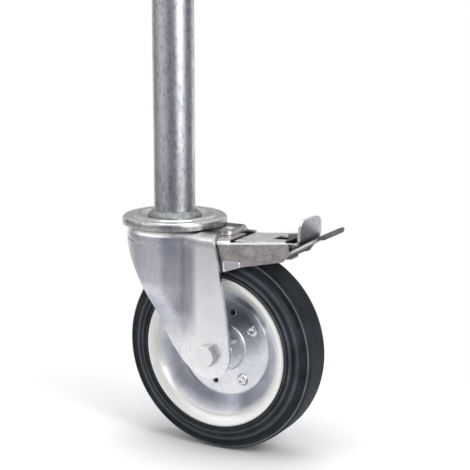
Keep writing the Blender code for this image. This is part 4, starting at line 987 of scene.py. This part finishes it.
def make_pedal():
    offsets = ((0, 0), (0, 0.0025), (0.0015, 0.0048), (0.0050, 0.0074), (0.0365, 0.0250), (0.0395, 0.0259),
               (0.0427, 0.0246))
    line = rounded([(LIP_X + x, LIP_BOTTOM + z) for x, z in offsets], (0, 0.003, 0.004, 0.010, 0.005, 0.003, 0), 5)
    rear = line[-1][0]

    def edges(i):
        half = PEDAL_HALF - corner_cut(line[i][0] - (rear - PEDAL_CORNER), PEDAL_CORNER)
        return -half, half

    bent_sheet("pedal_plate", line, edges, FOOT_STEEL, "brake_pedal")
    outline = [(LIP_X + 0.0020, LIP_BOTTOM + 0.0010), (LIP_X + 0.0020, PEDAL_PIN[1])]
    cheeks("pedal_cheek", outline + arc(PEDAL_PIN, EYE_R, 70, 270, 18), PEDAL_HALF)


def dress_frame():
    """CAD nodes that keep their shape get the dark steel finish."""
    for name in ("king_bolt", "king_washer", "king_nut", "lock_ring", "upper_ball_ring", "lower_ball_ring",
                 "roller_cage", "axle_sleeve", "return_spring"):
        materials = nodes[name].data.materials
        for i in range(len(materials)):
            materials[i] = DARK
        if not materials:
            materials.append(DARK)


# Studio

def make_floor():
    """Pale floor that takes the soft shadow near the castor, with a painted shadow in its colour there as well, and
    runs out to plain white.
    """
    bm = bmesh.new()
    bmesh.ops.create_grid(bm, x_segments=8, y_segments=8, size=6.0)
    floor = in_scene("floor", mesh_of("floor", bm))
    floor.location = (0, 0, GROUND - 0.0002)
    made = Finish("floor_paper", (0.8, 0.8, 0.8), 0.0, 0.9)
    # Painted shadow: the floor's colour darkens towards a point beside the wheel's contact.
    under = made.distance(made.place, (TRAIL, 0.010, 0.0))
    made.into("Base Color", made.span(under, 0.0, SHADE_REACH, 0.68, 0.93, "SMOOTHSTEP"))
    fade = made.span(made.distance(made.place, (TRAIL, 0.0, 0.0)), FADE_START, FADE_END, curve="SMOOTHSTEP")
    seen = made.node("LightPath").outputs
    either = made.maths("MAXIMUM", seen["Is Camera Ray"], seen["Is Glossy Ray"])
    white = made.node("Emission", {"Strength": 1.0})
    made.show(made.shared(made.times(fade, either), made.shader.outputs[0], white.outputs[0]))
    floor.data.materials.append(made.mat)


def make_world():
    world = bpy.data.worlds.new("studio")
    bpy.context.scene.world = world
    world.use_nodes = True
    made = Nodes(world.node_tree)
    plain = made.tree.nodes["Background"]
    made.put((0.96, 0.98, 1.0), plain.inputs["Color"])
    made.put(WORLD_LEVEL, plain.inputs["Strength"])
    white = made.node("Background", {"Color": (1, 1, 1), "Strength": 1.0})
    seen = made.node("LightPath").outputs
    either = made.maths("MAXIMUM", seen["Is Camera Ray"], seen["Is Glossy Ray"])
    either = made.maths("MAXIMUM", either, seen["Is Transmission Ray"])
    made.show(made.shared(either, plain.outputs[0], white.outputs[0]), "World Output")


def add_lamp(name, place, size, power):
    light = bpy.data.lights.new(name, "AREA")
    light.shape = "RECTANGLE"
    light.size, light.size_y = size
    light.energy = power
    lamp = in_scene(name, light)
    lamp.location = place
    lamp.rotation_euler = (LAMP_TARGET - Vector(place)).to_track_quat("-Z", "Y").to_euler()


def add_card(name, bearing, spread, distance, tone, low=GROUND, high=0.55, reach=0.0):
    """A board outside the view that only reflections see, spread degrees wide, fading out near its sides. It stands
    upright, or lies on the floor and runs reach inwards."""
    half = distance * math.tan(math.radians(spread / 2))
    inner = half * (1 - reach / distance)
    top = low if reach else high
    mesh = bpy.data.meshes.new(name)
    mesh.from_pydata([(0, -half, low), (0, half, low), (-reach, inner, top), (-reach, -inner, top)], [],
                     [(0, 1, 2, 3)])
    card = in_scene(name, mesh)
    card.location = (*around(bearing, distance), 0)
    card.rotation_euler = (0, 0, math.radians(CAMERA_BEARING + bearing))
    made = Finish(name, tone, 0.0, 1.0)
    made.tree.nodes.remove(made.shader)
    lit = made.node("Emission", {"Color": tone}).outputs[0]
    clear = made.node("BsdfTransparent").outputs[0]
    fade = made.span(made.off(made.axes()[1]), half * (1 - CARD_SOFT), half, curve="SMOOTHSTEP")
    made.show(made.shared(fade, lit, clear))
    mesh.materials.append(made.mat)
    card.visible_camera = card.visible_diffuse = card.visible_shadow = False


def around(bearing, distance):
    """A place on the floor at this bearing from the camera's own, counted to the camera's right."""
    angle = math.radians(CAMERA_BEARING + bearing)
    return distance * math.cos(angle), distance * math.sin(angle)


def make_studio():
    make_floor()
    make_world()
    add_lamp("key", (*around(36, 1.5), 0.75), (0.55, 1.1), 16)
    add_lamp("fill", (*around(-75, 1.9), 0.7), (1.4, 1.4), 14)
    add_lamp("top", (0.0, 0.1, 1.7), (1.2, 1.2), 12)
    add_card("card_front", -8, 52, 0.80, (0.15, 0.15, 0.19))
    add_card("card_left", -57, 62, 0.84, (0.38, 0.38, 0.42))
    add_card("card_floor_left", -78, 76, 0.86, (0.36, 0.36, 0.38), low=GROUND + 0.0005, reach=0.20)
    add_card("card_far_left", -108, 64, 0.88, (0.25, 0.25, 0.23))
    add_card("card_right", 88, 58, 0.80, (0.17, 0.17, 0.17))
    add_card("card_back", 180, 60, 0.95, (0.45, 0.46, 0.44), low=0.02, high=0.42)
    add_card("card_floor", -4, 66, 0.80, (0.48, 0.48, 0.54), low=GROUND + 0.001, reach=0.60)


def make_camera():
    data = bpy.data.cameras.new("camera")
    data.lens = 100.84
    data.sensor_width = 36
    camera = in_scene("camera", data)
    camera.location = (0.6547, -1.0954, 0.2377)
    camera.rotation_euler = (math.radians(78.512), 0, math.radians(28.208))
    bpy.context.scene.camera = camera


for old in [o for o in bpy.data.objects if o.type in ("CAMERA", "LIGHT") or o.name == "Cube"]:
    bpy.data.objects.remove(old)
make_stem()
make_head_plate()
make_fork()
make_rims()
make_tyre()
make_hub()
make_axle()
make_brake_housing()
make_lever()
make_pedal()
make_shoe()
dress_frame()
make_studio()
make_camera()
bpy.context.scene.view_settings.view_transform = "Standard"
